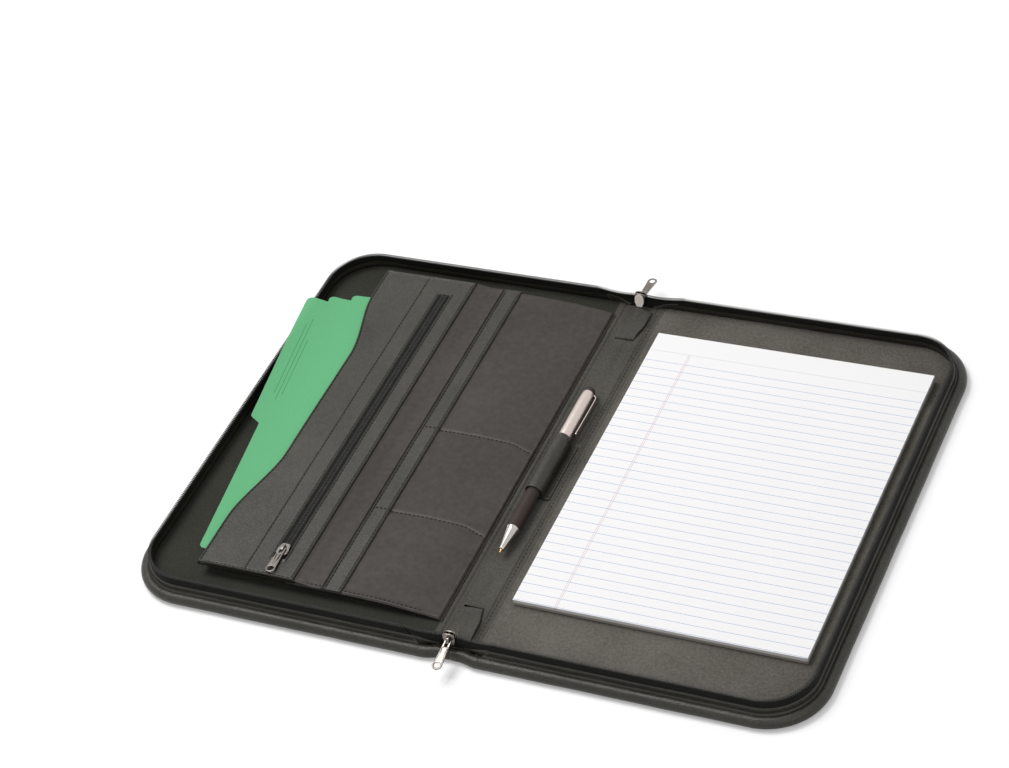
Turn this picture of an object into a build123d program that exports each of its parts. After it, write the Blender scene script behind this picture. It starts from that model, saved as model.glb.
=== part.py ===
"""Zippered padfolio lying open, with its writing pad, pen and tabbed divider cards.

Millimetres. The origin is the middle of the spine on the table, +X runs over the back cover
with the pad, +Y runs to the top of the pad and +Z is up.
"""

import os

from build123d import *

os.makedirs("parts", exist_ok=True)

# Writing pad, which sets the size of the case
pad_width = 215.9
pad_length = 279.4
pad_sheets_thickness = 5.4
pad_backing_thickness = 0.8
pad_head_thickness = 0.6

# Case: margins from the pad to the folds and edges of the back cover
fold_margin = 14.5
side_margin = 21.6
head_margin = 44.6
foot_margin = 56.0
spine_width = 26.0
corner_radius = 44.0
shell_lift = 3.2
shell_thickness = 3.0
lining_thickness = 0.8
fold_gap = 0.4
clearance = 0.3

# Pocket for the pad's backing
pad_slit_drop = 24.5
pad_panel_thickness = 0.6
pad_panel_inset = 11.5
pad_panel_fold_gap = 6.0
pad_panel_rim = 3.0

# Padded roll round the edge
piping_diameter = 9.0
piping_sides = 12
piping_flat = 0.4
piping_seat = 7.6
piping_fold_gap = 3.5
spine_neck = 2.5

# Standing wall and main zip
wall_ledge = 0.3
wall_thickness = 1.4
wall_rise = 6.0
wall_lean = 0.8
tape_thickness = 1.2
tape_lean = 0.8
tooth_height = 1.8
tooth_mesh = 0.5
tooth_depth = 2.4
tooth_width = 2.6
tooth_pitch = 6.5
zip_fold_gap = 10.5

# Joined ends of the main zip, tucked into slits in the spine lining
tuck_width = 14.0
tuck_slit = 1.6
tuck_length = 37.5
zip_end_inset = 8.7
zip_end_rise = 6.0
zip_stub_width = 5.0
zip_stub_rise = 9.0

# Sliders and pulls
slider_length = 11.0
slider_width = 9.0
slider_tail_width = 6.4
slider_plate = 1.1
slider_lip = 0.9
slider_post_width = 0.8
slider_post_length = 2.4
bridge_width = 2.0
bridge_bar = 0.9
bridge_length = 6.0
pull_length = 24.0
pull_width = 7.4
pull_neck_width = 5.0
pull_thickness = 1.0
pull_eye_length = 4.2
pull_hole = 4.6
main_slider_rise = 3.4
main_pull_droop = 8.0

# File pocket inside the front cover, with its margins to the cover's edges
pocket_foot_margin = 30.0
pocket_head_margin = 25.0
pocket_side_margin = 53.0
pocket_fold_margin = 4.0
pocket_slope = 10.0
pocket_height = 7.4
card_panel_thickness = 1.0
pocket_scoop = 13.0
scoop_head = 63.0
scoop_foot = 81.0
scoop_turn = 70.0
scoop_radius = 120.0
gusset_setback = 2.0
gusset_depth = 9.0
gusset_thickness = 0.9

# Zip panel, lap and strap on the file pocket
zip_panel_width = 79.0
zip_panel_thickness = 1.0
zip_panel_rim = 3.0
zip_cavity = 2.0
lap_width = 23.0
lap_thickness = 0.8
strap_gap = 0.5
strap_width = 15.0
strap_thickness = 1.6

# Pocket zips
pocket_tape_thickness = 0.6
pocket_tooth_height = 0.8
pocket_tooth_depth = 1.5
pocket_tooth_width = 2.6
pocket_tooth_pitch = 6.5
zip_window_width = 11.0
zip_tape_margin = 3.0
zip_centre_gap = 1.6
inner_zip_edge = 20.0
inner_zip_foot = 18.0
inner_zip_head = 19.0
outer_zip_edge = 63.0
outer_zip_foot = 38.0
outer_zip_head = 26.0
outer_zip_recess = 0.5
outer_back_plate = 0.5
slider_end_gap = 2.0

# Pen and its loop
pen_diameter = 10.4
pen_tip_y = -94.5
pen_point_length = 3.0
pen_cone_length = 21.0
pen_grip_length = 66.0
pen_barrel_length = 77.0
pen_stylus_length = 5.0
pen_stylus_diameter = 8.0
pen_stylus_bevels = 2
pen_cone_nose = 3.6
pen_bore = 4.0
refill_diameter = 2.4
refill_length = 110.0
loop_bottom = -33.0
loop_top = 23.0
loop_wall = 1.2
loop_play = 0.4
loop_flange = 11.0
loop_flange_thickness = 1.6

# Tabbed divider cards, placed from the lower left corner of the pocket's mouth
card_thickness = 0.4
card_turn = 7.5
card_reach_out = 4.8
card_reach_up = 16.0
card_head_room = 61.0
card_depth = 130.0
card_step_up = 127.0
card_tab_depth = 8.0
card_tab_turn = 6.0
card_stagger_x = 15.0
card_stagger_y = 9.0
card_rise_start = 16.0
card_over_wall = 0.5

# What follows from the sizes above
cover_width = fold_margin + pad_width + side_margin
case_height = foot_margin + pad_length + head_margin
half_height = case_height / 2
fold_x = spine_width / 2
pad_bottom = foot_margin - half_height
pad_top = pad_bottom + pad_length
zip_end_y = half_height - spine_neck - zip_end_inset
pocket_bottom = pocket_foot_margin - half_height
pocket_top = half_height - pocket_head_margin
pocket_left = cover_width - pocket_side_margin
zip_panel_right = pocket_left - zip_panel_width
lap_right = zip_panel_right - lap_width
strap_right = lap_right - strap_gap - strap_width
scoop_top = pocket_top - scoop_head
scoop_bottom = pocket_bottom + scoop_foot
shell_top = shell_lift + shell_thickness
fold_height = shell_top + lining_thickness
middle_height = fold_height + spine_width / 2
tape_top = middle_height + tooth_mesh - tooth_height
wall_top = fold_height + wall_rise
card_panel_bottom = fold_height + pocket_height
card_panel_top = card_panel_bottom + card_panel_thickness
inner_tape_bottom = card_panel_top + zip_cavity
inner_tape_top = inner_tape_bottom + pocket_tape_thickness
tooth_inset = piping_seat + wall_ledge + wall_lean + tape_lean + tape_thickness / 2


def cover_outline(side, inset, gap):
    """One cover's outline: square at the fold, round at its two free corners."""
    width = cover_width - inset - gap
    with BuildSketch() as outline:
        with Locations((side * (fold_x + gap + width / 2), 0)):
            Rectangle(width, case_height - 2 * inset)
        free_corners = outline.vertices().group_by(Axis.X)[-1 if side > 0 else 0]
        fillet(free_corners, corner_radius - inset)
    return outline.sketch


def edge_line(side, inset, gap):
    """Line round the three free sides of a cover, inset from its outer edge."""
    near = side * (fold_x + gap)
    far = side * (fold_x + cover_width - inset)
    reach = half_height - inset
    with BuildLine() as line:
        FilletPolyline(
            (near, -reach), (far, -reach), (far, reach), (near, reach), radius=corner_radius - inset
        )
    return line.wire()


def edge_section(side, inset, gap):
    """Plane across the start of an edge line: its x runs inwards and its y runs up."""
    start = (side * (fold_x + gap), inset - half_height, 0)
    return Plane(origin=start, x_dir=(0, 1, 0), z_dir=(1, 0, 0))


def fold_wedge(side):
    """Room over a fold, kept free so that the standing zip clears the spine as the case closes."""
    reach = case_height
    foot = fold_height - lining_thickness
    with BuildPart() as wedge:
        with BuildSketch(Plane.XZ):
            Polygon(
                (side * (fold_x - reach / 2), foot),
                (side * (fold_x + zip_fold_gap - lining_thickness), foot),
                (side * (fold_x + zip_fold_gap + reach / 2), fold_height + reach / 2),
                (side * (fold_x - reach / 2), fold_height + reach / 2),
                align=None,
            )
        extrude(amount=reach, both=True)
    return wedge.part


def slider(place, room, back_plate):
    """Zip slider: place's z points out of its front, its y to the mouth where the tapes part.

    Two shield-shaped plates stand apart by room, held by a post, with a bridge for the pull.
    """
    half_room = room / 2
    mouth = slider_length / 2
    with BuildPart() as body:
        for low, thickness in ((-half_room - back_plate, back_plate), (half_room, slider_plate)):
            with BuildSketch(place.offset(low)) as plate:
                Polygon(
                    (-slider_tail_width / 2, -mouth),
                    (slider_tail_width / 2, -mouth),
                    (slider_width / 2, mouth / 3),
                    (slider_width / 2, mouth * 0.8),
                    (slider_width / 4, mouth),
                    (-slider_width / 4, mouth),
                    (-slider_width / 2, mouth * 0.8),
                    (-slider_width / 2, mouth / 3),
                    align=None,
                )
                fillet(plate.vertices().group_by(Axis.Y)[0], slider_lip)
            extrude(amount=thickness)
        with BuildSketch(place.offset(-half_room)):
            with Locations((0, mouth * 0.8 - slider_post_length / 2)):
                Rectangle(slider_post_width, slider_post_length)
        extrude(amount=room)
        side_on = Plane(origin=place.origin, x_dir=place.y_dir, z_dir=place.x_dir)
        bridge_room = pull_thickness + 2 * clearance
        bridge_foot = half_room + slider_plate
        with BuildSketch(side_on.offset(-bridge_width / 2)) as arch:
            with Locations((0, bridge_foot + (bridge_room + bridge_bar) / 2)):
                Rectangle(bridge_length, bridge_room + bridge_bar)
            fillet(arch.vertices().group_by(Axis.Y)[-1], bridge_bar)
            with Locations((0, bridge_foot + bridge_room / 2)):
                Rectangle(bridge_length - 2 * bridge_bar, bridge_room, mode=Mode.SUBTRACT)
        extrude(amount=bridge_width)
    return body.part


def pull_axis(place, room):
    """Middle of the bar under the bridge, where the pull swings."""
    height = room / 2 + slider_plate + clearance + pull_thickness / 2
    return place.offset(height)


def pull(place):
    """Tapered pull: it swings about place's x and runs along place's y from there."""
    eye_width = bridge_width + 2 * clearance
    with BuildPart() as tab:
        with BuildSketch(place.offset(-pull_thickness / 2)) as outline:
            Polygon(
                (-pull_neck_width / 2, 0),
                (pull_neck_width / 2, 0),
                (pull_width / 2, pull_length - pull_width / 2),
                (-pull_width / 2, pull_length - pull_width / 2),
                align=None,
            )
            with Locations((0, pull_length - pull_width / 2)):
                Circle(pull_width / 2)
                Circle(pull_hole / 2, mode=Mode.SUBTRACT)
            with Locations((0, (pull_thickness / 2 + pull_eye_length) / 2)):
                Rectangle(eye_width, pull_thickness / 2 + pull_eye_length, mode=Mode.SUBTRACT)
        extrude(amount=pull_thickness)
        bar_end = Plane(origin=place.origin, x_dir=place.y_dir, z_dir=place.x_dir)
        with BuildSketch(bar_end.offset(-pull_neck_width / 2)):
            Circle(pull_thickness / 2)
        extrude(amount=pull_neck_width)
    return tab.part


# Back cover and front cover: shells, linings, rolls, walls and halves of the main zip
shells = {}
linings = {}
for cover, side in (("back", 1), ("front", -1)):
    with BuildPart() as shell:
        with BuildSketch(Plane.XY.offset(shell_lift)):
            add(cover_outline(side, piping_seat, fold_gap / 2))
        extrude(amount=shell_thickness)
    shells[cover] = shell

    with BuildPart() as lining:
        with BuildSketch(Plane.XY.offset(shell_top)):
            add(cover_outline(side, piping_seat, fold_gap / 2))
        extrude(amount=lining_thickness)
    linings[cover] = lining

    roll = piping_diameter / 2
    with BuildPart() as piping:
        with BuildSketch(edge_section(side, roll, piping_fold_gap)):
            with Locations((0, roll - piping_flat)):
                RegularPolygon(roll, piping_sides)
            with Locations((0, -roll)):
                Rectangle(piping_diameter, piping_diameter, mode=Mode.SUBTRACT)
            with Locations((piping_seat, roll)):
                Rectangle(piping_diameter, 2 * piping_diameter, mode=Mode.SUBTRACT)
        sweep(path=edge_line(side, roll, piping_fold_gap))
    piping.part.label = f"{cover}_piping"
    export_step(piping.part, f"parts/{cover}_piping.step")

    wall_inset = piping_seat + wall_ledge
    with BuildPart() as wall:
        with BuildSketch(edge_section(side, wall_inset, fold_gap)):
            Polygon(
                (0, fold_height),
                (wall_thickness, fold_height),
                (wall_thickness + wall_lean, wall_top),
                (wall_lean, wall_top),
                align=None,
            )
        sweep(path=edge_line(side, wall_inset, fold_gap))
        add(fold_wedge(side), mode=Mode.SUBTRACT)
    wall.part.label = f"{cover}_wall"
    export_step(wall.part, f"parts/{cover}_wall.step")

    tape_inset = wall_inset + wall_lean
    with BuildPart() as tape:
        with BuildSketch(edge_section(side, tape_inset, fold_gap)):
            Polygon(
                (0, wall_top),
                (tape_thickness, wall_top),
                (tape_thickness + tape_lean, tape_top),
                (tape_lean, tape_top),
                align=None,
            )
        sweep(path=edge_line(side, tape_inset, fold_gap))
        add(fold_wedge(side), mode=Mode.SUBTRACT)
    tape.part.label = f"{cover}_zip_tape"
    export_step(tape.part, f"parts/{cover}_zip_tape.step")

    # The two rows stand half a pitch apart, so they mesh when the covers close
    tooth_start = zip_fold_gap + tape_top - fold_height + tooth_height + tooth_width
    tooth_line = edge_line(side, tooth_inset, tooth_start)
    row_length = tooth_line.length
    first_tooth = tooth_pitch / 4 if side > 0 else tooth_pitch * 3 / 4
    tooth_count = int((row_length - first_tooth - tooth_width) / tooth_pitch) + 1
    tooth_places = []
    for index in range(tooth_count):
        along = (first_tooth + index * tooth_pitch) / row_length
        spot = tooth_line.position_at(along)
        heading = tooth_line.tangent_at(along)
        across = heading.cross(Vector(0, 0, 1))
        tooth_places.append(Plane(origin=(spot.X, spot.Y, tape_top), x_dir=heading, z_dir=across))
    with BuildPart() as teeth:
        with BuildSketch(*tooth_places):
            Polygon((-tooth_width / 2, 0), (tooth_width / 2, 0), (0, tooth_height), align=None)
        extrude(amount=tooth_depth / 2, both=True)
    teeth.part.label = f"{cover}_zip_teeth"
    export_step(teeth.part, f"parts/{cover}_zip_teeth.step")

back_shell = shells["back"]
back_shell.part.label = "back_shell"
export_step(back_shell.part, "parts/back_shell.step")

back_lining = linings["back"]
back_lining.part.label = "back_lining"
export_step(back_lining.part, "parts/back_lining.step")

# Pad pocket: a lining panel sewn round three sides and open at the slit under the pad's head
pad_slit_y = pad_top - pad_slit_drop
pad_cavity = pad_backing_thickness + 2 * clearance
with BuildPart() as pad_pocket_panel:
    with BuildSketch(Plane.XY.offset(fold_height)):
        add(cover_outline(1, pad_panel_inset, pad_panel_fold_gap))
        with Locations((fold_x + cover_width / 2, pad_slit_y + case_height / 2)):
            Rectangle(2 * cover_width, case_height, mode=Mode.SUBTRACT)
    extrude(amount=pad_cavity + pad_panel_thickness)
    with BuildSketch(Plane.XY.offset(fold_height)):
        add(cover_outline(1, pad_panel_inset + pad_panel_rim, pad_panel_fold_gap + pad_panel_rim))
    extrude(amount=pad_cavity, mode=Mode.SUBTRACT)
pad_pocket_panel.part.label = "pad_pocket_panel"
export_step(pad_pocket_panel.part, "parts/pad_pocket_panel.step")

# Writing pad: the backing goes down into the pocket and the sheets lie over it
pad_middle_x = fold_x + fold_margin + pad_width / 2
backing_bottom = fold_height + clearance
sheets_bottom = fold_height + pad_cavity + pad_panel_thickness + clearance
sheets_top = sheets_bottom + pad_sheets_thickness
with BuildPart() as pad_backing:
    with BuildSketch(Plane.XY.offset(backing_bottom)):
        with Locations((pad_middle_x, pad_bottom + pad_length / 2)):
            Rectangle(pad_width, pad_length)
    extrude(amount=pad_backing_thickness)
pad_backing.part.label = "pad_backing"
export_step(pad_backing.part, "parts/pad_backing.step")

with BuildPart() as pad_sheets:
    with BuildSketch(Plane.XY.offset(sheets_bottom)):
        with Locations((pad_middle_x, pad_bottom + pad_length / 2)):
            Rectangle(pad_width, pad_length)
    extrude(amount=pad_sheets_thickness)
pad_sheets.part.label = "pad_sheets"
export_step(pad_sheets.part, "parts/pad_sheets.step")

with BuildPart() as pad_head:
    with BuildSketch(Plane.XY.offset(backing_bottom)):
        with Locations((pad_middle_x, pad_top + pad_head_thickness / 2)):
            Rectangle(pad_width, pad_head_thickness)
    extrude(amount=sheets_top - backing_bottom)
pad_head.part.label = "pad_head"
export_step(pad_head.part, "parts/pad_head.step")

# Spine: panel, lining with two slits, and the roll across its ends
spine_panel_width = spine_width - fold_gap
spine_panel_height = case_height - 2 * (spine_neck + piping_seat)
with BuildPart() as spine_panel:
    with BuildSketch(Plane.XY.offset(shell_lift)):
        Rectangle(spine_panel_width, spine_panel_height)
    extrude(amount=shell_thickness)
spine_panel.part.label = "spine_panel"
export_step(spine_panel.part, "parts/spine_panel.step")

with BuildPart() as spine_lining:
    with BuildSketch(Plane.XY.offset(shell_top)):
        Rectangle(spine_panel_width, spine_panel_height)
        with Locations((0, tuck_length - zip_end_y), (0, zip_end_y - tuck_length)):
            Rectangle(tuck_width + tuck_slit, tuck_slit, mode=Mode.SUBTRACT)
    extrude(amount=lining_thickness)
spine_lining.part.label = "spine_lining"
export_step(spine_lining.part, "parts/spine_lining.step")

roll = piping_diameter / 2
spine_roll_y = half_height - spine_neck - roll
with BuildPart() as spine_piping:
    for end in (-1, 1):
        with BuildSketch(Plane.YZ.offset(-fold_x + piping_fold_gap)):
            with Locations((end * spine_roll_y, roll - piping_flat)):
                RegularPolygon(roll, piping_sides)
            with Locations((end * spine_roll_y, -roll)):
                Rectangle(piping_diameter, piping_diameter, mode=Mode.SUBTRACT)
            with Locations((end * (spine_roll_y - piping_seat), roll)):
                Rectangle(piping_diameter, 2 * piping_diameter, mode=Mode.SUBTRACT)
        extrude(amount=spine_width - 2 * piping_fold_gap)
spine_piping.part.label = "spine_piping"
export_step(spine_piping.part, "parts/spine_piping.step")

# Joined ends of the main zip: a flat tab from the slit, then a gore of tape up to the slider
gore_half = spine_width / 2 - fold_gap - tape_thickness
for end, end_name in ((-1, "bottom"), (1, "top")):
    gore_y = end * zip_end_y
    slit_y = end * (zip_end_y - tuck_length)
    with BuildPart() as zip_end:
        with BuildSketch(Plane.XY.offset(fold_height)):
            with Locations((0, (slit_y + gore_y) / 2)):
                Rectangle(tuck_width, tuck_length)
        extrude(amount=tape_thickness)
        with BuildSketch(Plane.XY.offset(shell_top)):
            with Locations((0, slit_y)):
                Rectangle(tuck_width, tuck_slit - 2 * clearance)
        extrude(amount=lining_thickness + tape_thickness)
        with BuildSketch(Plane.XZ.offset(-gore_y - tape_thickness / 2)):
            Polygon(
                (-gore_half, fold_height),
                (gore_half, fold_height),
                (zip_stub_width / 2, fold_height + zip_end_rise),
                (zip_stub_width / 2, fold_height + zip_stub_rise),
                (-zip_stub_width / 2, fold_height + zip_stub_rise),
                (-zip_stub_width / 2, fold_height + zip_end_rise),
                align=None,
            )
        extrude(amount=tape_thickness)
    zip_end.part.label = f"zip_end_{end_name}"
    export_step(zip_end.part, f"parts/zip_end_{end_name}.step")

    main_room = tape_thickness + 2 * clearance
    slider_height = fold_height + main_slider_rise + slider_length / 2
    front = Plane(origin=(0, gore_y, slider_height), x_dir=(-end, 0, 0), z_dir=(0, end, 0))
    with BuildPart() as main_slider:
        add(slider(front, main_room, slider_plate))
    main_slider.part.label = f"{end_name}_slider"
    export_step(main_slider.part, f"parts/{end_name}_slider.step")

    hang = pull_axis(front, main_room)
    with BuildPart() as main_pull:
        add(pull(hang.rotated((-end * (90 + main_pull_droop), 0, 0))))
    main_pull.part.label = f"{end_name}_pull"
    export_step(main_pull.part, f"parts/{end_name}_pull.step")

# Pen loop: a sleeve on the spine with a stitched flange beside it
loop_bore = pen_diameter + 2 * loop_play
loop_outer = loop_bore + 2 * loop_wall
pen_height = fold_height + loop_outer / 2
with BuildPart() as pen_loop:
    with BuildSketch(Plane.XZ.offset(-loop_bottom)):
        with Locations((0, pen_height)):
            Circle(loop_outer / 2)
        with Locations((loop_flange / 2, fold_height + loop_flange_thickness / 2)):
            Rectangle(loop_flange, loop_flange_thickness)
        with Locations((0, pen_height)):
            Circle(loop_bore / 2, mode=Mode.SUBTRACT)
    extrude(amount=-(loop_top - loop_bottom))
pen_loop.part.label = "pen_loop"
export_step(pen_loop.part, "parts/pen_loop.step")

# Pen: cone and soft grip, a barrel that twists, a stylus dome, and the refill inside
pen_axis = Plane(origin=(0, 0, pen_height), x_dir=(1, 0, 0), z_dir=(0, 0, 1))
axis_line = Axis((0, 0, pen_height), (0, 1, 0))
cone_start = pen_tip_y + pen_point_length
grip_start = cone_start + pen_cone_length
barrel_start = grip_start + pen_grip_length
barrel_end = barrel_start + pen_barrel_length
stylus_end = barrel_end + pen_stylus_length
pen_radius = pen_diameter / 2
bore_radius = pen_bore / 2
with BuildPart() as pen_cone:
    with BuildSketch(pen_axis):
        with BuildLine():
            Polyline(
                (refill_diameter / 2 + clearance, cone_start),
                (pen_cone_nose / 2, cone_start),
                (pen_radius, grip_start - pen_point_length),
                (pen_radius, grip_start),
                (bore_radius, grip_start),
                (bore_radius, grip_start - pen_point_length),
                (refill_diameter / 2 + clearance, grip_start - pen_point_length),
                close=True,
            )
        make_face()
    revolve(axis=axis_line)
pen_cone.part.label = "pen_cone"
export_step(pen_cone.part, "parts/pen_cone.step")

with BuildPart() as pen_grip:
    with BuildSketch(pen_axis):
        with Locations(((pen_radius + bore_radius) / 2, (grip_start + barrel_start) / 2)):
            Rectangle(pen_radius - bore_radius, barrel_start - grip_start)
    revolve(axis=axis_line)
pen_grip.part.label = "pen_grip"
export_step(pen_grip.part, "parts/pen_grip.step")

with BuildPart() as pen_barrel:
    with BuildSketch(pen_axis) as barrel_half:
        with Locations(((pen_radius + bore_radius) / 2, (barrel_start + clearance + barrel_end) / 2)):
            Rectangle(pen_radius - bore_radius, pen_barrel_length - clearance)
        top_rim = barrel_half.vertices().group_by(Axis.Y)[-1].sort_by(Axis.X)[-1]
        chamfer(top_rim, clearance * 2)
    revolve(axis=axis_line)
pen_barrel.part.label = "pen_barrel"
export_step(pen_barrel.part, "parts/pen_barrel.step")

stylus_radius = pen_stylus_diameter / 2
dome = [(0, barrel_end), (stylus_radius, barrel_end)]
for bevel in range(pen_stylus_bevels + 1):
    rim = Vector(stylus_radius, 0).rotate(Axis.Z, 90 * bevel / pen_stylus_bevels)
    dome.append((rim.X, stylus_end - stylus_radius + rim.Y))
with BuildPart() as pen_stylus:
    with BuildSketch(pen_axis):
        with BuildLine():
            Polyline(*dome, close=True)
        make_face()
    revolve(axis=axis_line)
pen_stylus.part.label = "pen_stylus"
export_step(pen_stylus.part, "parts/pen_stylus.step")

with BuildPart() as pen_refill:
    with BuildSketch(pen_axis):
        with BuildLine():
            Polyline(
                (0, pen_tip_y),
                (refill_diameter / 4, pen_tip_y + clearance),
                (refill_diameter / 2, pen_tip_y + pen_point_length),
                (refill_diameter / 2, pen_tip_y + refill_length),
                (0, pen_tip_y + refill_length),
                close=True,
            )
        make_face()
    revolve(axis=axis_line)
pen_refill.part.label = "pen_refill"
export_step(pen_refill.part, "parts/pen_refill.step")


def pocket_outline(right):
    """Face of the file pocket from its scooped left edge to a line right of it."""
    left = -(fold_x + pocket_left)
    scoop = left + pocket_scoop
    with BuildSketch() as face:
        with BuildLine():
            FilletPolyline(
                (left, pocket_top),
                (left, scoop_top + scoop_turn / 2),
                (scoop, scoop_top - scoop_turn / 2),
                (scoop, scoop_bottom + scoop_turn / 2),
                (left, scoop_bottom - scoop_turn / 2),
                (left, pocket_bottom),
                radius=scoop_radius,
            )
            Polyline(
                (left, pocket_bottom),
                (-(fold_x + right), pocket_bottom),
                (-(fold_x + right), pocket_top),
                (left, pocket_top),
            )
        make_face()
    return face.sketch


# File pocket: a vinyl face that slopes up from its seam at the spine, on two pleated gussets
seam_x = -(fold_x + pocket_fold_margin)
slope_x = seam_x - pocket_slope
pocket_end_x = -(fold_x + pocket_left)
with BuildPart() as card_panel:
    with BuildSketch(Plane.XY.offset(fold_height)):
        add(pocket_outline(pocket_fold_margin))
    extrude(amount=pocket_height + card_panel_thickness)
    with BuildSketch(Plane.XZ.offset(-pocket_bottom + pocket_scoop)):
        Polygon(
            (seam_x, fold_height),
            (seam_x, fold_height + card_panel_thickness),
            (slope_x, card_panel_top),
            (pocket_end_x - pocket_scoop, card_panel_top),
            (pocket_end_x - pocket_scoop, card_panel_bottom),
            (slope_x, card_panel_bottom),
            (seam_x - card_panel_thickness, fold_height),
            align=None,
        )
    extrude(amount=-(pocket_top - pocket_bottom + 2 * pocket_scoop), mode=Mode.INTERSECT)
card_panel.part.label = "card_panel"
export_step(card_panel.part, "parts/card_panel.step")

crease_height = fold_height + pocket_height / 2
for end, edge_y, end_name in ((1, pocket_bottom, "bottom"), (-1, pocket_top, "top")):
    lip_y = edge_y + end * gusset_setback
    crease_y = lip_y + end * gusset_depth
    skin = end * gusset_thickness
    with BuildPart() as gusset:
        with BuildSketch(Plane.YZ.offset(slope_x)):
            Polygon(
                (lip_y, fold_height),
                (crease_y, crease_height),
                (lip_y, card_panel_bottom),
                (lip_y + skin, card_panel_bottom),
                (crease_y + skin, crease_height),
                (lip_y + skin, fold_height),
                align=None,
            )
        extrude(amount=-(slope_x - pocket_end_x - pocket_scoop))
    gusset.part.label = f"pocket_gusset_{end_name}"
    export_step(gusset.part, f"parts/pocket_gusset_{end_name}.step")

# Zip panel: a leatherette face over the zipped pocket, with a window for the zip
inner_zip_x = -(fold_x + zip_panel_right + inner_zip_edge)
inner_zip_bottom = pocket_bottom + inner_zip_foot
inner_zip_top = pocket_top - inner_zip_head
inner_zip_length = inner_zip_top - inner_zip_bottom
inner_zip_y = (inner_zip_top + inner_zip_bottom) / 2
panel_rim = zip_panel_rim
with BuildPart() as zip_panel:
    with BuildSketch(Plane.XY.offset(card_panel_top)):
        add(pocket_outline(zip_panel_right))
    extrude(amount=inner_tape_top + zip_panel_thickness - card_panel_top)
    with BuildSketch(Plane.XY.offset(card_panel_top)):
        offset(pocket_outline(zip_panel_right), amount=-panel_rim, kind=Kind.INTERSECTION)
    extrude(amount=inner_tape_top - card_panel_top, mode=Mode.SUBTRACT)
    with BuildSketch(Plane.XY.offset(inner_tape_top)):
        with Locations((inner_zip_x, inner_zip_y)):
            Rectangle(zip_window_width, inner_zip_length)
    extrude(amount=zip_panel_thickness, mode=Mode.SUBTRACT)
zip_panel.part.label = "zip_panel"
export_step(zip_panel.part, "parts/zip_panel.step")

with BuildPart() as card_lap:
    with BuildSketch(Plane.XY.offset(card_panel_top)):
        with Locations((-(fold_x + (zip_panel_right + lap_right) / 2), (pocket_top + pocket_bottom) / 2)):
            Rectangle(zip_panel_right - lap_right, pocket_top - pocket_bottom)
    extrude(amount=lap_thickness)
card_lap.part.label = "card_lap"
export_step(card_lap.part, "parts/card_lap.step")

with BuildPart() as card_strap:
    with BuildSketch(Plane.XY.offset(card_panel_top)):
        with Locations((-(fold_x + strap_right + strap_width / 2), (pocket_top + pocket_bottom) / 2)):
            Rectangle(strap_width, pocket_top - pocket_bottom)
    extrude(amount=strap_thickness)
    fillet(card_strap.faces().sort_by(Axis.Z)[-1].edges().filter_by(Axis.Y), strap_thickness / 3)
card_strap.part.label = "card_strap"
export_step(card_strap.part, "parts/card_strap.step")

# Front shell with the window of the outside zip pocket
outer_zip_x = -(fold_x + cover_width - outer_zip_edge)
outer_zip_bottom = outer_zip_foot - half_height
outer_zip_top = half_height - outer_zip_head
outer_zip_length = outer_zip_top - outer_zip_bottom
outer_zip_y = (outer_zip_top + outer_zip_bottom) / 2
outer_back_gap = shell_top + outer_zip_recess - outer_back_plate - clearance
outer_tape_bottom = outer_back_gap - clearance - pocket_tape_thickness
tape_width = zip_window_width + 2 * zip_tape_margin
with BuildPart() as front_shell:
    add(shells["front"].part)
    with BuildSketch(Plane.XY.offset(shell_lift)):
        with Locations((outer_zip_x, outer_zip_y)):
            Rectangle(zip_window_width, outer_zip_length)
    extrude(amount=shell_thickness, mode=Mode.SUBTRACT)
    with BuildSketch(Plane.XY.offset(outer_tape_bottom)):
        with Locations((outer_zip_x, outer_zip_y)):
            Rectangle(tape_width, outer_zip_length + 2 * zip_tape_margin)
    extrude(amount=shell_top - outer_tape_bottom, mode=Mode.SUBTRACT)
front_shell.part.label = "front_shell"
export_step(front_shell.part, "parts/front_shell.step")

with BuildPart() as front_lining:
    add(linings["front"].part)
    with BuildSketch(Plane.XY.offset(shell_top)):
        with Locations((outer_zip_x, outer_zip_y)):
            Rectangle(zip_window_width, outer_zip_length)
    extrude(amount=outer_zip_recess, mode=Mode.SUBTRACT)
front_lining.part.label = "front_lining"
export_step(front_lining.part, "parts/front_lining.step")

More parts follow.
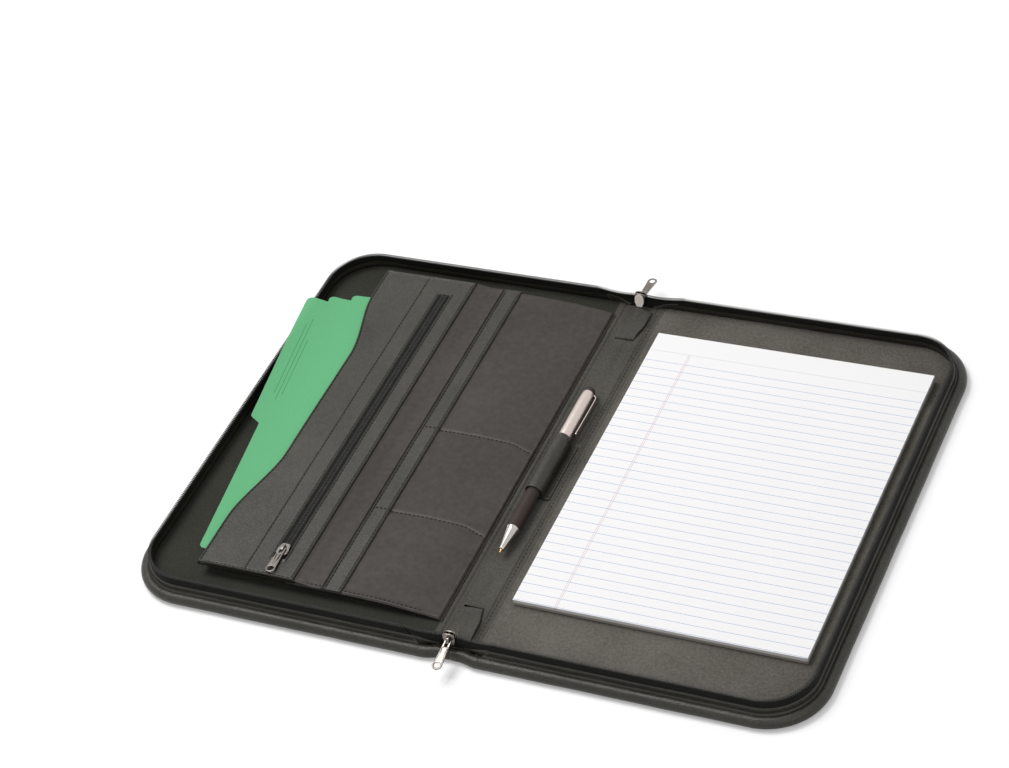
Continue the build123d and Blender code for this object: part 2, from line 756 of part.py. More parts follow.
# Pocket zips: two tapes with a row of teeth on each, a slider and its pull
strip_width = (tape_width - zip_centre_gap) / 2
pocket_room = pocket_tape_thickness + pocket_tooth_height + 2 * clearance
for zip_name, zip_x, zip_y, zip_length, tape_low, out, back_plate in (
    ("inner", inner_zip_x, inner_zip_y, inner_zip_length, inner_tape_bottom, 1, slider_plate),
    ("outer", outer_zip_x, outer_zip_y, outer_zip_length, outer_tape_bottom, -1, outer_back_plate),
):
    strip_centres = []
    row_planes = []
    for hand in (-1, 1):
        strip_centres.append((zip_x + hand * (zip_centre_gap + strip_width) / 2, zip_y))
        row_planes.append(Plane.YZ.offset(zip_x + hand * (zip_centre_gap + pocket_tooth_depth) / 2))
    tape_margin = min(zip_tape_margin, zip_panel_rim)
    with BuildPart() as pocket_tape:
        with BuildSketch(Plane.XY.offset(tape_low)):
            with Locations(*strip_centres):
                Rectangle(strip_width, zip_length + 2 * tape_margin)
        extrude(amount=pocket_tape_thickness)
    pocket_tape.part.label = f"{zip_name}_zip_tape"
    export_step(pocket_tape.part, f"parts/{zip_name}_zip_tape.step")

    tooth_base = tape_low + pocket_tape_thickness if out > 0 else tape_low
    row_count = int((zip_length - pocket_tooth_width) / pocket_tooth_pitch)
    tooth_half = pocket_tooth_width / 2
    with BuildPart() as pocket_teeth:
        with BuildSketch(*row_planes):
            with Locations((zip_y, tooth_base)):
                with GridLocations(pocket_tooth_pitch, 0, row_count, 1):
                    Polygon((-tooth_half, 0), (tooth_half, 0), (0, out * pocket_tooth_height), align=None)
        extrude(amount=pocket_tooth_depth / 2, both=True)
    pocket_teeth.part.label = f"{zip_name}_zip_teeth"
    export_step(pocket_teeth.part, f"parts/{zip_name}_zip_teeth.step")

    chain_middle = tape_low + pocket_tape_thickness / 2 + out * pocket_tooth_height / 2
    park_reach = zip_length / 2 - slider_length / 2 - slider_end_gap
    park_y = zip_y - out * park_reach
    park = Plane(origin=(zip_x, park_y, chain_middle), x_dir=(-1, 0, 0), z_dir=(0, 0, out))
    with BuildPart() as pocket_slider:
        add(slider(park, pocket_room, back_plate))
    pocket_slider.part.label = f"{zip_name}_slider"
    export_step(pocket_slider.part, f"parts/{zip_name}_slider.step")

    swing = pull_axis(park, pocket_room)
    with BuildPart() as pocket_pull:
        add(pull(swing if out > 0 else swing.rotated((0, 0, 180))))
    pocket_pull.part.label = f"{zip_name}_pull"
    export_step(pocket_pull.part, f"parts/{zip_name}_pull.step")

# Tabbed divider cards: flat in the pocket, bent up over the zip beside it
stack = 3
card_x = pocket_end_x - card_reach_out
card_y = pocket_bottom + card_reach_up
card_length = pocket_top - pocket_bottom - card_head_room
stack_bottom = card_panel_bottom - clearance - stack * card_thickness
over_wall = tape_top + tooth_height + card_over_wall
rise_start_x = pocket_end_x - card_rise_start
wall_x = -(fold_x + cover_width - tooth_inset - tooth_depth)
for index in range(stack):
    card_low = stack_bottom + (stack - 1 - index) * card_thickness
    step_up = over_wall - stack_bottom
    lie = Plane(
        origin=(card_x + index * card_stagger_x, card_y + index * card_stagger_y, fold_height),
        x_dir=Vector(1, 0, 0).rotate(Axis.Z, card_turn),
    )
    with BuildPart() as card:
        with BuildSketch(lie):
            with BuildLine():
                FilletPolyline(
                    (0, 0),
                    (card_depth, 0),
                    (card_depth, card_length),
                    (-card_tab_depth, card_length),
                    (-card_tab_depth, card_step_up + card_tab_turn),
                    (0, card_step_up),
                    radius=card_tab_turn,
                    close=True,
                )
            make_face()
        extrude(amount=case_height)
        with BuildSketch(Plane.XZ.offset(-case_height)):
            Polygon(
                (0, card_low),
                (rise_start_x, card_low),
                (wall_x, card_low + step_up),
                (wall_x - cover_width, card_low + step_up),
                (wall_x - cover_width, card_low + step_up + card_thickness),
                (wall_x, card_low + step_up + card_thickness),
                (rise_start_x, card_low + card_thickness),
                (0, card_low + card_thickness),
                align=None,
            )
        extrude(amount=2 * case_height, mode=Mode.INTERSECT)
    card.part.label = f"divider_card_{index + 1}"
    export_step(card.part, f"parts/divider_card_{index + 1}.step")
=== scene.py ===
"""Looks of a zippered padfolio lying open, over its CAD frame: skins, padding, coils, thread, paper, metal.

Shapes are written in millimetres in the CAD frame and turned to metres where a mesh is made.
"""

import math

import bpy
import numpy as np
from mathutils import Matrix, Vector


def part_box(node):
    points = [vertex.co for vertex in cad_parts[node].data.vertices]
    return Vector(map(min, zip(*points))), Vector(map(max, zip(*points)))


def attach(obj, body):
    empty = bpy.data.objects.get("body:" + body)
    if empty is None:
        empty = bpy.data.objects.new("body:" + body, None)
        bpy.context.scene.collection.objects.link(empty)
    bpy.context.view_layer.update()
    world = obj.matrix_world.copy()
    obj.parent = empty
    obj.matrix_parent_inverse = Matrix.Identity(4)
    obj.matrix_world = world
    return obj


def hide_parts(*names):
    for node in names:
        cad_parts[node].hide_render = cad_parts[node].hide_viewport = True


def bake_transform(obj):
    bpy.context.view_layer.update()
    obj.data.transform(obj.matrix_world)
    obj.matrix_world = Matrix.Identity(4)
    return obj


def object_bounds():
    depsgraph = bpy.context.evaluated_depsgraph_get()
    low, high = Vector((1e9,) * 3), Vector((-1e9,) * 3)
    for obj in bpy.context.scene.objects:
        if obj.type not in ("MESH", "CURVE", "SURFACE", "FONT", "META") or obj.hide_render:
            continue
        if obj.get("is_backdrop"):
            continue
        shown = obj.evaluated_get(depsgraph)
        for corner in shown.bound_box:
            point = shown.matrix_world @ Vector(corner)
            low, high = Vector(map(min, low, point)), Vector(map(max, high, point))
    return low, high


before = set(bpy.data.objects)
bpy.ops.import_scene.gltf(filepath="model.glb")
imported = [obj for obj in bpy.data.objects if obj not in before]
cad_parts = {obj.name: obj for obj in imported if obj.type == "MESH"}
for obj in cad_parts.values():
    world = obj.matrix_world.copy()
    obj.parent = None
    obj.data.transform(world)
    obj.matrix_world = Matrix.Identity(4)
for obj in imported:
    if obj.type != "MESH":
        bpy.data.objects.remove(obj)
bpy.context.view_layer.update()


# Padded rolls round both covers
# Soft leatherette stuffed with a thin cord, sewn round the three free edges of each cover.
# The roll is about 9 mm thick and lies a little flat where it rests on the table.
def colour(code):
    """Linear RGBA of an sRGB hex code: c / 12.92 up to 0.04045, then ((c + 0.055) / 1.055) ^ 2.4."""
    c = np.array([int(code[i : i + 2], 16) for i in (1, 3, 5)]) / 255
    c = np.where(c <= 0.04045, c / 12.92, ((c + 0.055) / 1.055) ** 2.4)
    return (*c.tolist(), 1.0)


def node(tree, kind, inputs=None, **settings):
    """Adds a shader node: an input given a socket is linked to it, any other is set."""
    made = tree.nodes.new(kind)
    for key, value in settings.items():
        setattr(made, key, value)
    for key, value in (inputs or {}).items():
        if isinstance(value, bpy.types.NodeSocket):
            tree.links.new(value, made.inputs[key])
        else:
            made.inputs[key].default_value = value
    return made


def material(name, **surface):
    """A plain Principled material, returned with its tree and shader."""
    made = bpy.data.materials.new(name)
    made.use_nodes = True
    tree = made.node_tree
    shader = tree.nodes["Principled BSDF"]
    for key, value in surface.items():
        shader.inputs[key.replace("_", " ")].default_value = value
    return made, tree, shader


def skin(name, dark, light, grain, depth, rough, patch, gloss):
    """A soft skin: its colour drifts over patch mm and mottles with the grain, whose cells rise depth mm."""
    made, tree, shader = material(name, Roughness=rough, Specular_IOR_Level=gloss)
    place = node(tree, "ShaderNodeTexCoord").outputs["Object"]
    drift = node(tree, "ShaderNodeTexNoise", {"Vector": place, "Scale": 1000 / patch, "Detail": 3.0})
    mottle = node(tree, "ShaderNodeTexNoise", {"Vector": place, "Scale": 600 / grain, "Detail": 2.0})
    both = node(tree, "ShaderNodeMath", {0: drift.outputs["Fac"], 1: mottle.outputs["Fac"]}, operation="ADD")
    tone = node(tree, "ShaderNodeMapRange", {"Value": both.outputs[0], "From Min": 0.7, "From Max": 1.3})
    mixed = node(tree, "ShaderNodeMix", data_type="RGBA")
    mixed.inputs[6].default_value = colour(dark)
    mixed.inputs[7].default_value = colour(light)
    tree.links.new(tone.outputs["Result"], mixed.inputs[0])
    tree.links.new(mixed.outputs[2], shader.inputs["Base Color"])
    cells = node(tree, "ShaderNodeTexVoronoi", {"Vector": place, "Scale": 1000 / grain}, feature="SMOOTH_F1")
    fine = node(tree, "ShaderNodeTexNoise", {"Vector": place, "Scale": 2500 / grain, "Detail": 3.0})
    height = node(tree, "ShaderNodeMath", {0: fine.outputs["Fac"], 1: cells.outputs["Distance"]},
                  operation="SUBTRACT")
    raised = node(tree, "ShaderNodeBump", {"Height": height.outputs[0], "Distance": depth / 1000})
    tree.links.new(raised.outputs["Normal"], shader.inputs["Normal"])
    return made


leatherette = skin("leatherette", "#25241d", "#39372f", 1.5, 0.18, 0.36, 40, 0.38)


def mm_box(name):
    """Lowest and highest corner of a CAD node, in mm."""
    low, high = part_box(name)
    return np.array(low) * 1000, np.array(high) * 1000


fold_x = 13.0
corner_radius = 44.0
case_far, case_reach, roll_top = mm_box("back_piping")[1]
roll_radius, roll_start, path_step = 4.5, 9.0, 2.0
roll_z = roll_top - roll_radius


def edge_path(side, inset, start, step):
    """Points, inward normals and arc length along a cover's free edge, every step mm.

    Three straights joined by quarter circles round the case's corners, from start mm beyond the fold.
    """
    radius, far, reach = corner_radius - inset, case_far - inset, case_reach - inset
    run, rise, turn = far - radius - fold_x - start, 2 * (reach - radius), math.pi / 2 * radius
    ends = np.cumsum([0, run, turn, rise, turn, run])
    s = np.linspace(0, ends[-1], int(ends[-1] / step) + 1)
    a, b = (s - ends[1]) / radius, (s - ends[3]) / radius
    middle = far - radius
    legs = [s < ends[1], s < ends[2], s < ends[3], s < ends[4], s <= ends[5]]
    x = np.select(legs, [fold_x + start + s, middle + radius * np.sin(a), far + 0 * s,
                         middle + radius * np.cos(b), middle - (s - ends[4])])
    y = np.select(legs, [-reach + 0 * s, radius - reach - radius * np.cos(a), radius - reach + s - ends[2],
                         reach - radius + radius * np.sin(b), reach + 0 * s])
    nx = np.select(legs, [0 * s, -np.sin(a), -1 + 0 * s, -np.cos(b), 0 * s])
    ny = np.select(legs, [1 + 0 * s, np.cos(a), 0 * s, -np.sin(b), -1 + 0 * s])
    return np.stack([side * x, y], 1), np.stack([side * nx, ny], 1), s


def swept(path, normals, section):
    """Grid of section points (inwards, up) carried along a path: p + n * inwards, at height up."""
    flat = path[:, None] + normals[:, None] * section[..., :1]
    up = np.broadcast_to(section[..., 1:], (*flat.shape[:2], 1))
    return np.concatenate([flat, up], 2)


def grid(points, wrap=False, caps=False, facing=None):
    """Points, quads and end faces of a grid: closed across its columns with wrap, at its ends with caps.

    Faces turn towards facing, or without it away from the middle of the points.
    """
    rows, cols = points.shape[:2]
    index = np.arange(rows * cols).reshape(rows, cols)
    ring = np.hstack([index, index[:, :1]]) if wrap else index
    quads = np.stack([ring[:-1, :-1], ring[:-1, 1:], ring[1:, 1:], ring[1:, :-1]], -1).reshape(-1, 4)
    points = points.reshape(-1, 3)
    corners = points[quads]
    turned = np.cross(corners[:, 2] - corners[:, 0], corners[:, 3] - corners[:, 1])
    outward = corners.mean(1) - points.mean(0) if facing is None else np.array(facing)
    way = 1 if (turned * outward).sum() > 0 else -1
    ends = [index[0, ::-1][::way], index[-1][::way]] if caps else []
    return points, quads[:, ::way], ends


def shape(name, finish, *parts):
    """One mesh object at the origin, from parts of points in mm, smooth quads and flat end faces."""
    start, verts, faces, curved = 0, [], [], []
    for points, quads, ends in parts:
        verts.append(points)
        faces += (quads + start).tolist() + [(end + start).tolist() for end in ends]
        curved += [True] * len(quads) + [False] * len(ends)
        start += len(points)
    mesh = bpy.data.meshes.new(name)
    mesh.from_pydata((np.concatenate(verts) / 1000).tolist(), [], faces)
    mesh.polygons.foreach_set("use_smooth", curved)
    mesh.materials.append(finish)
    made = bpy.data.objects.new(name, mesh)
    bpy.context.scene.collection.objects.link(made)
    return made


around = np.linspace(0, 2 * np.pi, 33)[:-1]
ring = np.stack([np.cos(around), np.sin(around)], 1)
for cover, side in (("back", 1), ("front", -1)):
    path, normals, s = edge_path(side, roll_radius, roll_start, path_step)
    full = roll_radius + 0.06 * np.sin(s / 17) + 0.05 * np.sin(s / 7.3 + 1)
    roll = swept(path, normals, full[:, None, None] * ring + (0, roll_z))
    roll[..., 2] = np.maximum(roll[..., 2], 0.0)
    piping = shape(f"{cover}_roll", leatherette, grid(roll, wrap=True, caps=True))
    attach(piping, f"{cover}_cover")
    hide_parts(f"{cover}_piping")


# Rolls across the spine's ends
# Each cover's roll necks in a little over the fold and runs to the middle of the spine,
# where the two ends are pinched together in a seam.
def ease(t):
    """Smooth step from 0 to 1: 3 t^2 - 2 t^3."""
    t = np.clip(t, 0, 1)
    return t * t * (3 - 2 * t)


spine_neck = case_reach - mm_box("spine_piping")[1][1]
tuck_x, taper_x, neck_x, neck_long = 26, 22, 21, 14
for end in (-1, 1):
    for side, cover in ((1, "back_cover"), (-1, "front_cover")):
        x = np.linspace(tuck_x, 0.1, 46)[:, None]
        pinch = np.exp(-x / 1.8)
        tucked = roll_radius + 0.06 - 0.025 * np.clip(x - taper_x, 0, None)
        thick = tucked * (1 - 0.14 * pinch) - 0.25 * pinch * np.cos(5 * around)
        y = case_reach - roll_radius - spine_neck * ease((neck_x - x) / neck_long) + thick * np.cos(around)
        z = np.maximum(roll_z + thick * np.sin(around), 0)
        tube = np.stack(np.broadcast_arrays(side * x, end * y, z), 2)
        roll = shape(f"spine_roll_{cover}_{'top' if end > 0 else 'bottom'}", leatherette,
                     grid(tube, wrap=True, caps=True))
        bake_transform(roll)
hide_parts("spine_piping")


# Outside of the covers
# Padded leatherette over board, with cloudy puckers, sewn in beside the rolls. The front has a lapped
# seam, a zip window and a sewn line beyond it.
upward, downward = (0, 0, 1), (0, 0, -1)
shell_low = mm_box("back_shell")[0][2]
skin_inset = 7.2
skin_reach = case_reach - skin_inset
outer_low, outer_high = mm_box("outer_zip_tape")
outer_zip_x = (outer_low[0] + outer_high[0]) / 2


def cover_rows(side, inset, near, far, low, high, rows, cols):
    """Grid (x, y) over a cover between two lines along y, each row ending at the round corners.

    The far end is far, or the corner's edge: middle + sqrt(r^2 - h^2) with r the radius less inset.
    """
    reach, radius = case_reach - inset, corner_radius - inset
    y = low + (high - low) * (1 - np.cos(np.linspace(0, np.pi, rows))) / 2
    over = np.clip(np.abs(y) - (reach - radius), 0, radius)
    edge = np.minimum(case_far - corner_radius + np.sqrt(radius**2 - over**2), far)
    x = near + (edge[:, None] - near) * np.linspace(0, 1, cols)
    return side * x, np.broadcast_to(y[:, None], x.shape)


def waves(x, y, size, seed):
    """Soft unevenness from -1 to 1: the mean of 7 plane waves of about size mm in seeded directions."""
    pick = np.random.default_rng(seed)
    total = 0
    for _ in range(7):
        angle, phase, length = pick.uniform(0, 2 * np.pi, 3)
        length = size * (0.6 + 0.13 * length)
        total = total + np.sin(2 * np.pi * (x * np.cos(angle) + y * np.sin(angle)) / length + phase)
    return total / 3.5


def outside(x, y, seed):
    """Height of the outer skin: swells down by up to 1.5 mm from its sewn edge, less beside the zip."""
    inset = np.minimum(case_reach - np.abs(y), case_far - np.abs(x))
    flat = 1 - 0.85 * np.exp(-(((x - outer_zip_x) / 9) ** 2))
    swell = 1.5 * flat * (1 - np.exp(-np.clip(inset - 7.6, 0, None) / 9))
    pucker = 0.35 * waves(x, y, 55, seed) + 0.15 * waves(x, y, 21, seed + 1)
    return shell_low - swell * (1 + 0.35 * pucker)


skin_start, back_seed, front_seed = 16, 3, 5
x, y = cover_rows(1, skin_inset, skin_start, case_far, -skin_reach, skin_reach, 150, 110)
back_skin = shape("back_outside", leatherette,
                  grid(np.stack([x, y, outside(x, y, back_seed)], 2), facing=downward))
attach(back_skin, "back_cover")
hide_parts("back_shell")

window_half, window_hem = 5.2, 3.3
window_near, window_far = -outer_zip_x - window_half, -outer_zip_x + window_half
window_low, window_high = outer_low[1] + window_hem, outer_high[1] - window_hem
lap_at = 176
patches = []
for near, far, low, high in ((skin_start, lap_at + 1.6, -skin_reach, skin_reach),
                             (lap_at, window_near, -skin_reach, skin_reach),
                             (window_far, case_far, -skin_reach, skin_reach),
                             (window_near, window_far, window_high, skin_reach),
                             (window_near, window_far, -skin_reach, window_low)):
    cols = max(8, int((min(far, case_far - skin_inset) - near) / 2.2))
    x, y = cover_rows(-1, skin_inset, near, far, low, high, 120, cols)
    z = outside(x, y, front_seed)
    if near == skin_start:
        z = z - 0.9 * np.clip((np.abs(x) - lap_at + 8) / 6, 0, 1)
    lip = np.abs(x - outer_zip_x) - window_half
    beside = (y > window_low - 2) & (y < window_high + 2) & (lip < 2)
    z = np.where(beside, z + 0.8 * np.clip(1 - lip / 2, 0, 1) ** 2, z)
    patches.append(grid(np.stack([x, y, z], 2), facing=downward))
front_skin = shape("front_outside", leatherette, *patches)
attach(front_skin, "front_cover")
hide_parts("front_shell")


# Outside of the spine
# The same leatherette runs round the spine, with a soft crease at each fold.
spine_reach = mm_box("spine_panel")[1][1]
spine_skin_z = shell_low - 0.6
crease_near, crease_wide = 7.5, 9
x, y = np.meshgrid(np.linspace(-8, 8, 12), np.linspace(-spine_reach, spine_reach, 90))
spine_skin = shape("spine_outside", leatherette,
                   grid(np.stack([x, y, spine_skin_z + 0.2 * waves(x, y, 30, 8)], 2), facing=downward))
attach(spine_skin, "spine")
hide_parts("spine_panel")
for side, cover, seed in ((1, "back_cover", back_seed), (-1, "front_cover", front_seed)):
    u, y = np.meshgrid(np.linspace(crease_near, crease_near + crease_wide, 14),
                       np.linspace(-spine_reach, spine_reach, 90))
    share = (u - crease_near) / crease_wide
    z = (1 - share) * spine_skin_z + share * outside(side * u, y, seed)
    z = z + 0.9 * np.exp(-((u - fold_x) / 1.6) ** 2)
    crease = shape(f"outer_crease_{cover}", leatherette,
                   grid(np.stack([side * u, y, z], 2), facing=downward))
    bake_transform(crease)


# Lining of both covers
# Thin grey suede-like cloth glued to the board, a little uneven, running under the zip wall.
# The front lining is set darker than the back one, though both are the same cloth: the difference is painted
# shade. The pocket's gussets use the same darker tone.
tones = {"back": ("#4c4943", "#67645e"), "front": ("#23231d", "#32322b"), "spine": ("#3d3b36", "#53514b")}
lining = {}
for place, (dark, light) in tones.items():
    lining[place] = skin(f"{place} lining cloth", dark, light, 1.1, 0.08, 0.75, 60, 0.2)
lining_top = mm_box("back_lining")[1][2]
lining_inset, lining_near = 7.6, 18.5
lining_reach = case_reach - lining_inset
for cover, side, seed in (("back", 1, 11), ("front", -1, 13)):
    x, y = cover_rows(side, lining_inset, lining_near, case_far, -lining_reach, lining_reach, 150, 110)
    z = lining_top + 0.16 * waves(x, y, 60, seed) + 0.06 * waves(x, y, 23, seed + 1)
    inside = shape(f"{cover}_inside", lining[cover], grid(np.stack([x, y, z], 2), facing=upward))
    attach(inside, f"{cover}_cover")
    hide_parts(f"{cover}_lining")
    wide, tall = case_far - lining_inset - lining_near, 2 * lining_reach


# Lining of the spine
# A strip between two pressed seams, cut by a slit near each end where the zip's tongue goes in.
slit_y, slit_half, slit_gap = 141.3, 7.8, 0.8
fold_stitch_x, crease_reach = 14.8, 180.5


def spine_lining_height(x, y):
    """Lining with a seam pressed in at each fold, soft rolls beside it and a hollow in from each slit."""
    seam = 0.6 * np.exp(-((np.abs(x) - fold_x) / 0.6) ** 2)
    roll = (0.4 * np.exp(-((np.abs(x) - 11) / 1.1) ** 2)
            + 0.35 * np.exp(-((np.abs(x) - fold_stitch_x) / 1.0) ** 2))
    slack = np.exp(-(((np.abs(y) - slit_y + 18) / 13) ** 2))
    hollow = slack * (0.9 * np.exp(-(((x - 3.5) / 3) ** 2)) - 0.5 * np.exp(-(((x + 2.5) / 3) ** 2)))
    return lining_top - seam + roll - hollow + 0.12 * waves(x, y, 26, 17)


strips = []
for low, high in ((-spine_reach, -slit_y - slit_gap), (-slit_y + slit_gap, slit_y - slit_gap),
                  (slit_y + slit_gap, spine_reach)):
    x, y = np.meshgrid(np.linspace(-slit_half, slit_half, 26),
                       np.linspace(low, high, max(24, int((high - low) / 1.6))))
    away = np.abs(np.abs(y) - slit_y)
    lip = 0.8 * np.exp(-((away - 2.0) / 1.0) ** 2) - 0.7 * np.exp(-((away - slit_gap) / 0.5) ** 2)
    lip = lip * np.clip((slit_half - np.abs(x)) / 1.5, 0, 1)
    strips.append(grid(np.stack([x, y, spine_lining_height(x, y) + lip], 2), facing=upward))
for side in (-1, 1):
    x, y = np.meshgrid(side * np.linspace(slit_half, 9, 4), np.linspace(-spine_reach, spine_reach, 140))
    strips.append(grid(np.stack([x, y, spine_lining_height(x, y)], 2), facing=upward))
spine_inside = shape("spine_inside", lining["spine"], *strips)
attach(spine_inside, "spine")
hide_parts("spine_lining")
for side, cover in ((1, "back_cover"), (-1, "front_cover")):
    x, y = np.meshgrid(side * np.linspace(8.9, 18.8, 44), np.linspace(-crease_reach, crease_reach, 140))
    crease = shape(f"inner_crease_{cover}", lining["spine"],
                   grid(np.stack([x, y, spine_lining_height(x, y)], 2), facing=upward))
    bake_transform(crease)


# Standing walls
# A doubled strip of leatherette sewn into the seam beside the roll, upright under the zip tape.
wall_inset, wall_start = 7.9, 10.5
wall_foot, wall_head = lining_top, mm_box("back_wall")[1][2]


def raked(points, height):
    """Shears the two ends of an edge strip to 45 degrees: x grows by the height over the fold there."""
    lean = (points[..., 2] - height) * np.clip((70 - np.abs(points[..., 0])) / 46, 0, 1)
    points[..., 0] += np.sign(points[..., 0]) * lean
    return points


wall_section = np.array([(-1.6, 0.4), (-1.1, 1.0), (-0.5, 1.25), (-0.1, 1.9), (0.0, 3.2), (0.15, 4.6),
                         (0.3, 5.5), (0.6, 6.05), (1.1, 6.25), (1.7, 6.1), (2.0, 5.6), (1.95, 4.0),
                         (1.65, 2.0), (1.4, 0.0)])
for cover, side in (("back", 1), ("front", -1)):
    path, normals, s = edge_path(side, wall_inset, wall_start, path_step)
    strip = raked(swept(path, normals, wall_section + (0, wall_foot)), wall_foot)
    strip[..., 2] += 0.12 * np.sin(s / 11)[:, None] * (wall_section[:, 1] > 2)
    sway = 0.12 * np.sin(s / 7 + 2)[:, None] * wall_section[:, 1] / 6
    strip[..., :2] += normals[:, None] * sway[..., None]
    wall = shape(f"{cover}_zip_wall", leatherette, grid(strip, wrap=True, caps=True))
    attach(wall, f"{cover}_cover")
    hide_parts(f"{cover}_wall")


# Main zip: tape
# Black twill tape about 6 mm wide above the wall, the same inside and out.
tape_black = skin("black zip tape", "#0f0f0d", "#1a1a17", 0.6, 0.06, 0.8, 20, 0.2)
tape_inset = 8.7
tape_head = mm_box("back_zip_tape")[1][2]
tape_section = np.array([(0.0, -0.4), (0.15, 1.6), (0.4, 3.7), (0.65, 5.3), (0.95, 5.7), (1.5, 5.7),
                         (1.85, 5.3), (1.7, 3.6), (1.5, 1.6), (1.3, -0.4)])
for cover, side in (("back", 1), ("front", -1)):
    path, normals, s = edge_path(side, tape_inset, wall_start + wall_head - wall_foot, path_step)
    strip = raked(swept(path, normals, tape_section + (0, wall_head)), wall_head)
    tape = shape(f"{cover}_tape", tape_black, grid(strip, wrap=True, caps=True))
    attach(tape, f"{cover}_cover")
    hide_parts(f"{cover}_zip_tape")


# Main zip: coil
# One nylon wire wound in a flat spiral along the tape's edge, about 1.6 mm between turns.
coil_black = skin("black nylon coil", "#32322e", "#40403c", 0.5, 0.02, 0.4, 6, 0.35)


def coil(centre, across, width, height, pitch, wire, lead=0.0):
    """Tube of radius wire wound about a line c(s), at the angle a = 2 pi (s / pitch + lead).

    Its middle runs along c(s) + across * width * cos(a) + up * height * sin(a).
    """
    up = np.array([0, 0, 1.0])
    s = np.concatenate([[0], np.cumsum(np.linalg.norm(np.diff(centre, axis=0), axis=1))])
    t = np.linspace(0, s[-1], int(s[-1] / pitch * 9))
    c = np.stack([np.interp(t, s, centre[:, k]) for k in range(3)], 1)
    o = np.stack([np.interp(t, s, across[:, k]) for k in range(3)], 1)
    angle = (2 * np.pi * (t / pitch + lead))[:, None]
    out = o * np.cos(angle) * width + up * np.sin(angle) * height
    run = np.gradient(c + out, axis=0)
    run /= np.linalg.norm(run, axis=1, keepdims=True)
    radial = o * np.cos(angle) / width + up * np.sin(angle) / height
    radial -= run * (radial * run).sum(1, keepdims=True)
    radial /= np.linalg.norm(radial, axis=1, keepdims=True)
    third = np.cross(run, radial)
    spin = np.linspace(0, 2 * np.pi, 6)[:-1, None]
    tube = (c + out)[:, None] + wire * (radial[:, None] * np.cos(spin) + third[:, None] * np.sin(spin))
    return grid(tube, wrap=True, caps=True)


coil_inset, coil_z, coil_pitch, coil_wire = 10.1, tape_head + 0.65, 1.6, 0.38
coil_width, coil_height, coil_lead = 1.15, 0.75, {1: 0.0, -1: 0.5}
for cover, side in (("back", 1), ("front", -1)):
    path, normals, s = edge_path(side, coil_inset, wall_start + coil_z - wall_foot, 1.0)
    centre = np.column_stack([path, np.full(len(s), coil_z)])
    across = np.column_stack([normals, np.zeros(len(s))])
    comb = shape(f"{cover}_coil", coil_black,
                 coil(centre, across, coil_width, coil_height, coil_pitch, coil_wire, coil_lead[side]))
    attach(comb, f"{cover}_cover")
    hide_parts(f"{cover}_zip_teeth")


# Main zip: tape over the folds
# The tape runs on from each wall, dips over the fold and enters the slider at the end of the spine.
# The wall's leatherette runs on below it and tapers away towards the slider.
slider_inset = 11.2
slider_y = case_reach - slider_inset
gore_half, gore_neck, gore_turn, gore_coil_width = 11.4, 2.6, 0.49, 1.1


def curtain(u, v, end, side, off):
    """Tape from the wall's raked end (u = 0) to the slider (u = 1), v up its height, moved out by off mm."""
    z0 = wall_foot + (tape_head + 0.5 - wall_foot) * v
    x0 = fold_x + wall_start + z0 - wall_foot
    y0 = case_reach - wall_inset - 0.6 - 0.13 * (z0 - wall_foot)
    x1 = np.interp(v, [0, gore_turn, 1], [gore_half, gore_neck, gore_neck])
    z1 = np.interp(v, [0, gore_turn, 1], [wall_foot, wall_head, tape_head])
    x = x0 + (x1 - x0) * u
    y = y0 + (slider_y - y0) * ease(u) + 0.5 * np.sin(np.pi * u) * np.sin(np.pi * v) + off
    z = z0 + (z1 - z0) * u - 1.6 * np.sin(np.pi * u) * v**2
    return np.stack(np.broadcast_arrays(side * x, end * y, z), -1)


for end in (-1, 1):
    for side, cover in ((1, "back_cover"), (-1, "front_cover")):
        name = f"{cover}_{'top' if end > 0 else 'bottom'}"
        v, u = np.meshgrid(np.linspace(0, 1, 14), np.linspace(0, 1, 36))
        gore = shape(f"zip_gore_{name}", tape_black,
                     grid(curtain(u, v, end, side, 0.0), facing=(0, end, 0)))
        edge = curtain(np.linspace(0, 1, 36), 1.0, end, side, 0.0) + (0, 0, 0.5)
        over = np.broadcast_to([0.0, end, 0.0], edge.shape)
        comb = shape(f"gore_coil_{name}", coil_black,
                     coil(edge, over, gore_coil_width, coil_height, coil_pitch, coil_wire, coil_lead[side]))
        u = np.linspace(-0.02, 0.97, 36)[:, None]
        tall = 0.5 - 0.36 * ease(u / 0.9) + 0.02
        w = np.concatenate([np.linspace(0, 1, 9), np.linspace(1, 0, 9)])
        off = np.concatenate([np.full(9, 0.75), np.full(9, -0.55)]) * (1 - 0.55 * w**6)
        ear = shape(f"wall_ear_{name}", leatherette,
                    grid(curtain(u, tall * w, end, side, off), wrap=True, caps=True))
        for piece, slot in ((gore, "zip_tape"), (comb, "zip_coil"), (ear, "leatherette")):
            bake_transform(piece)


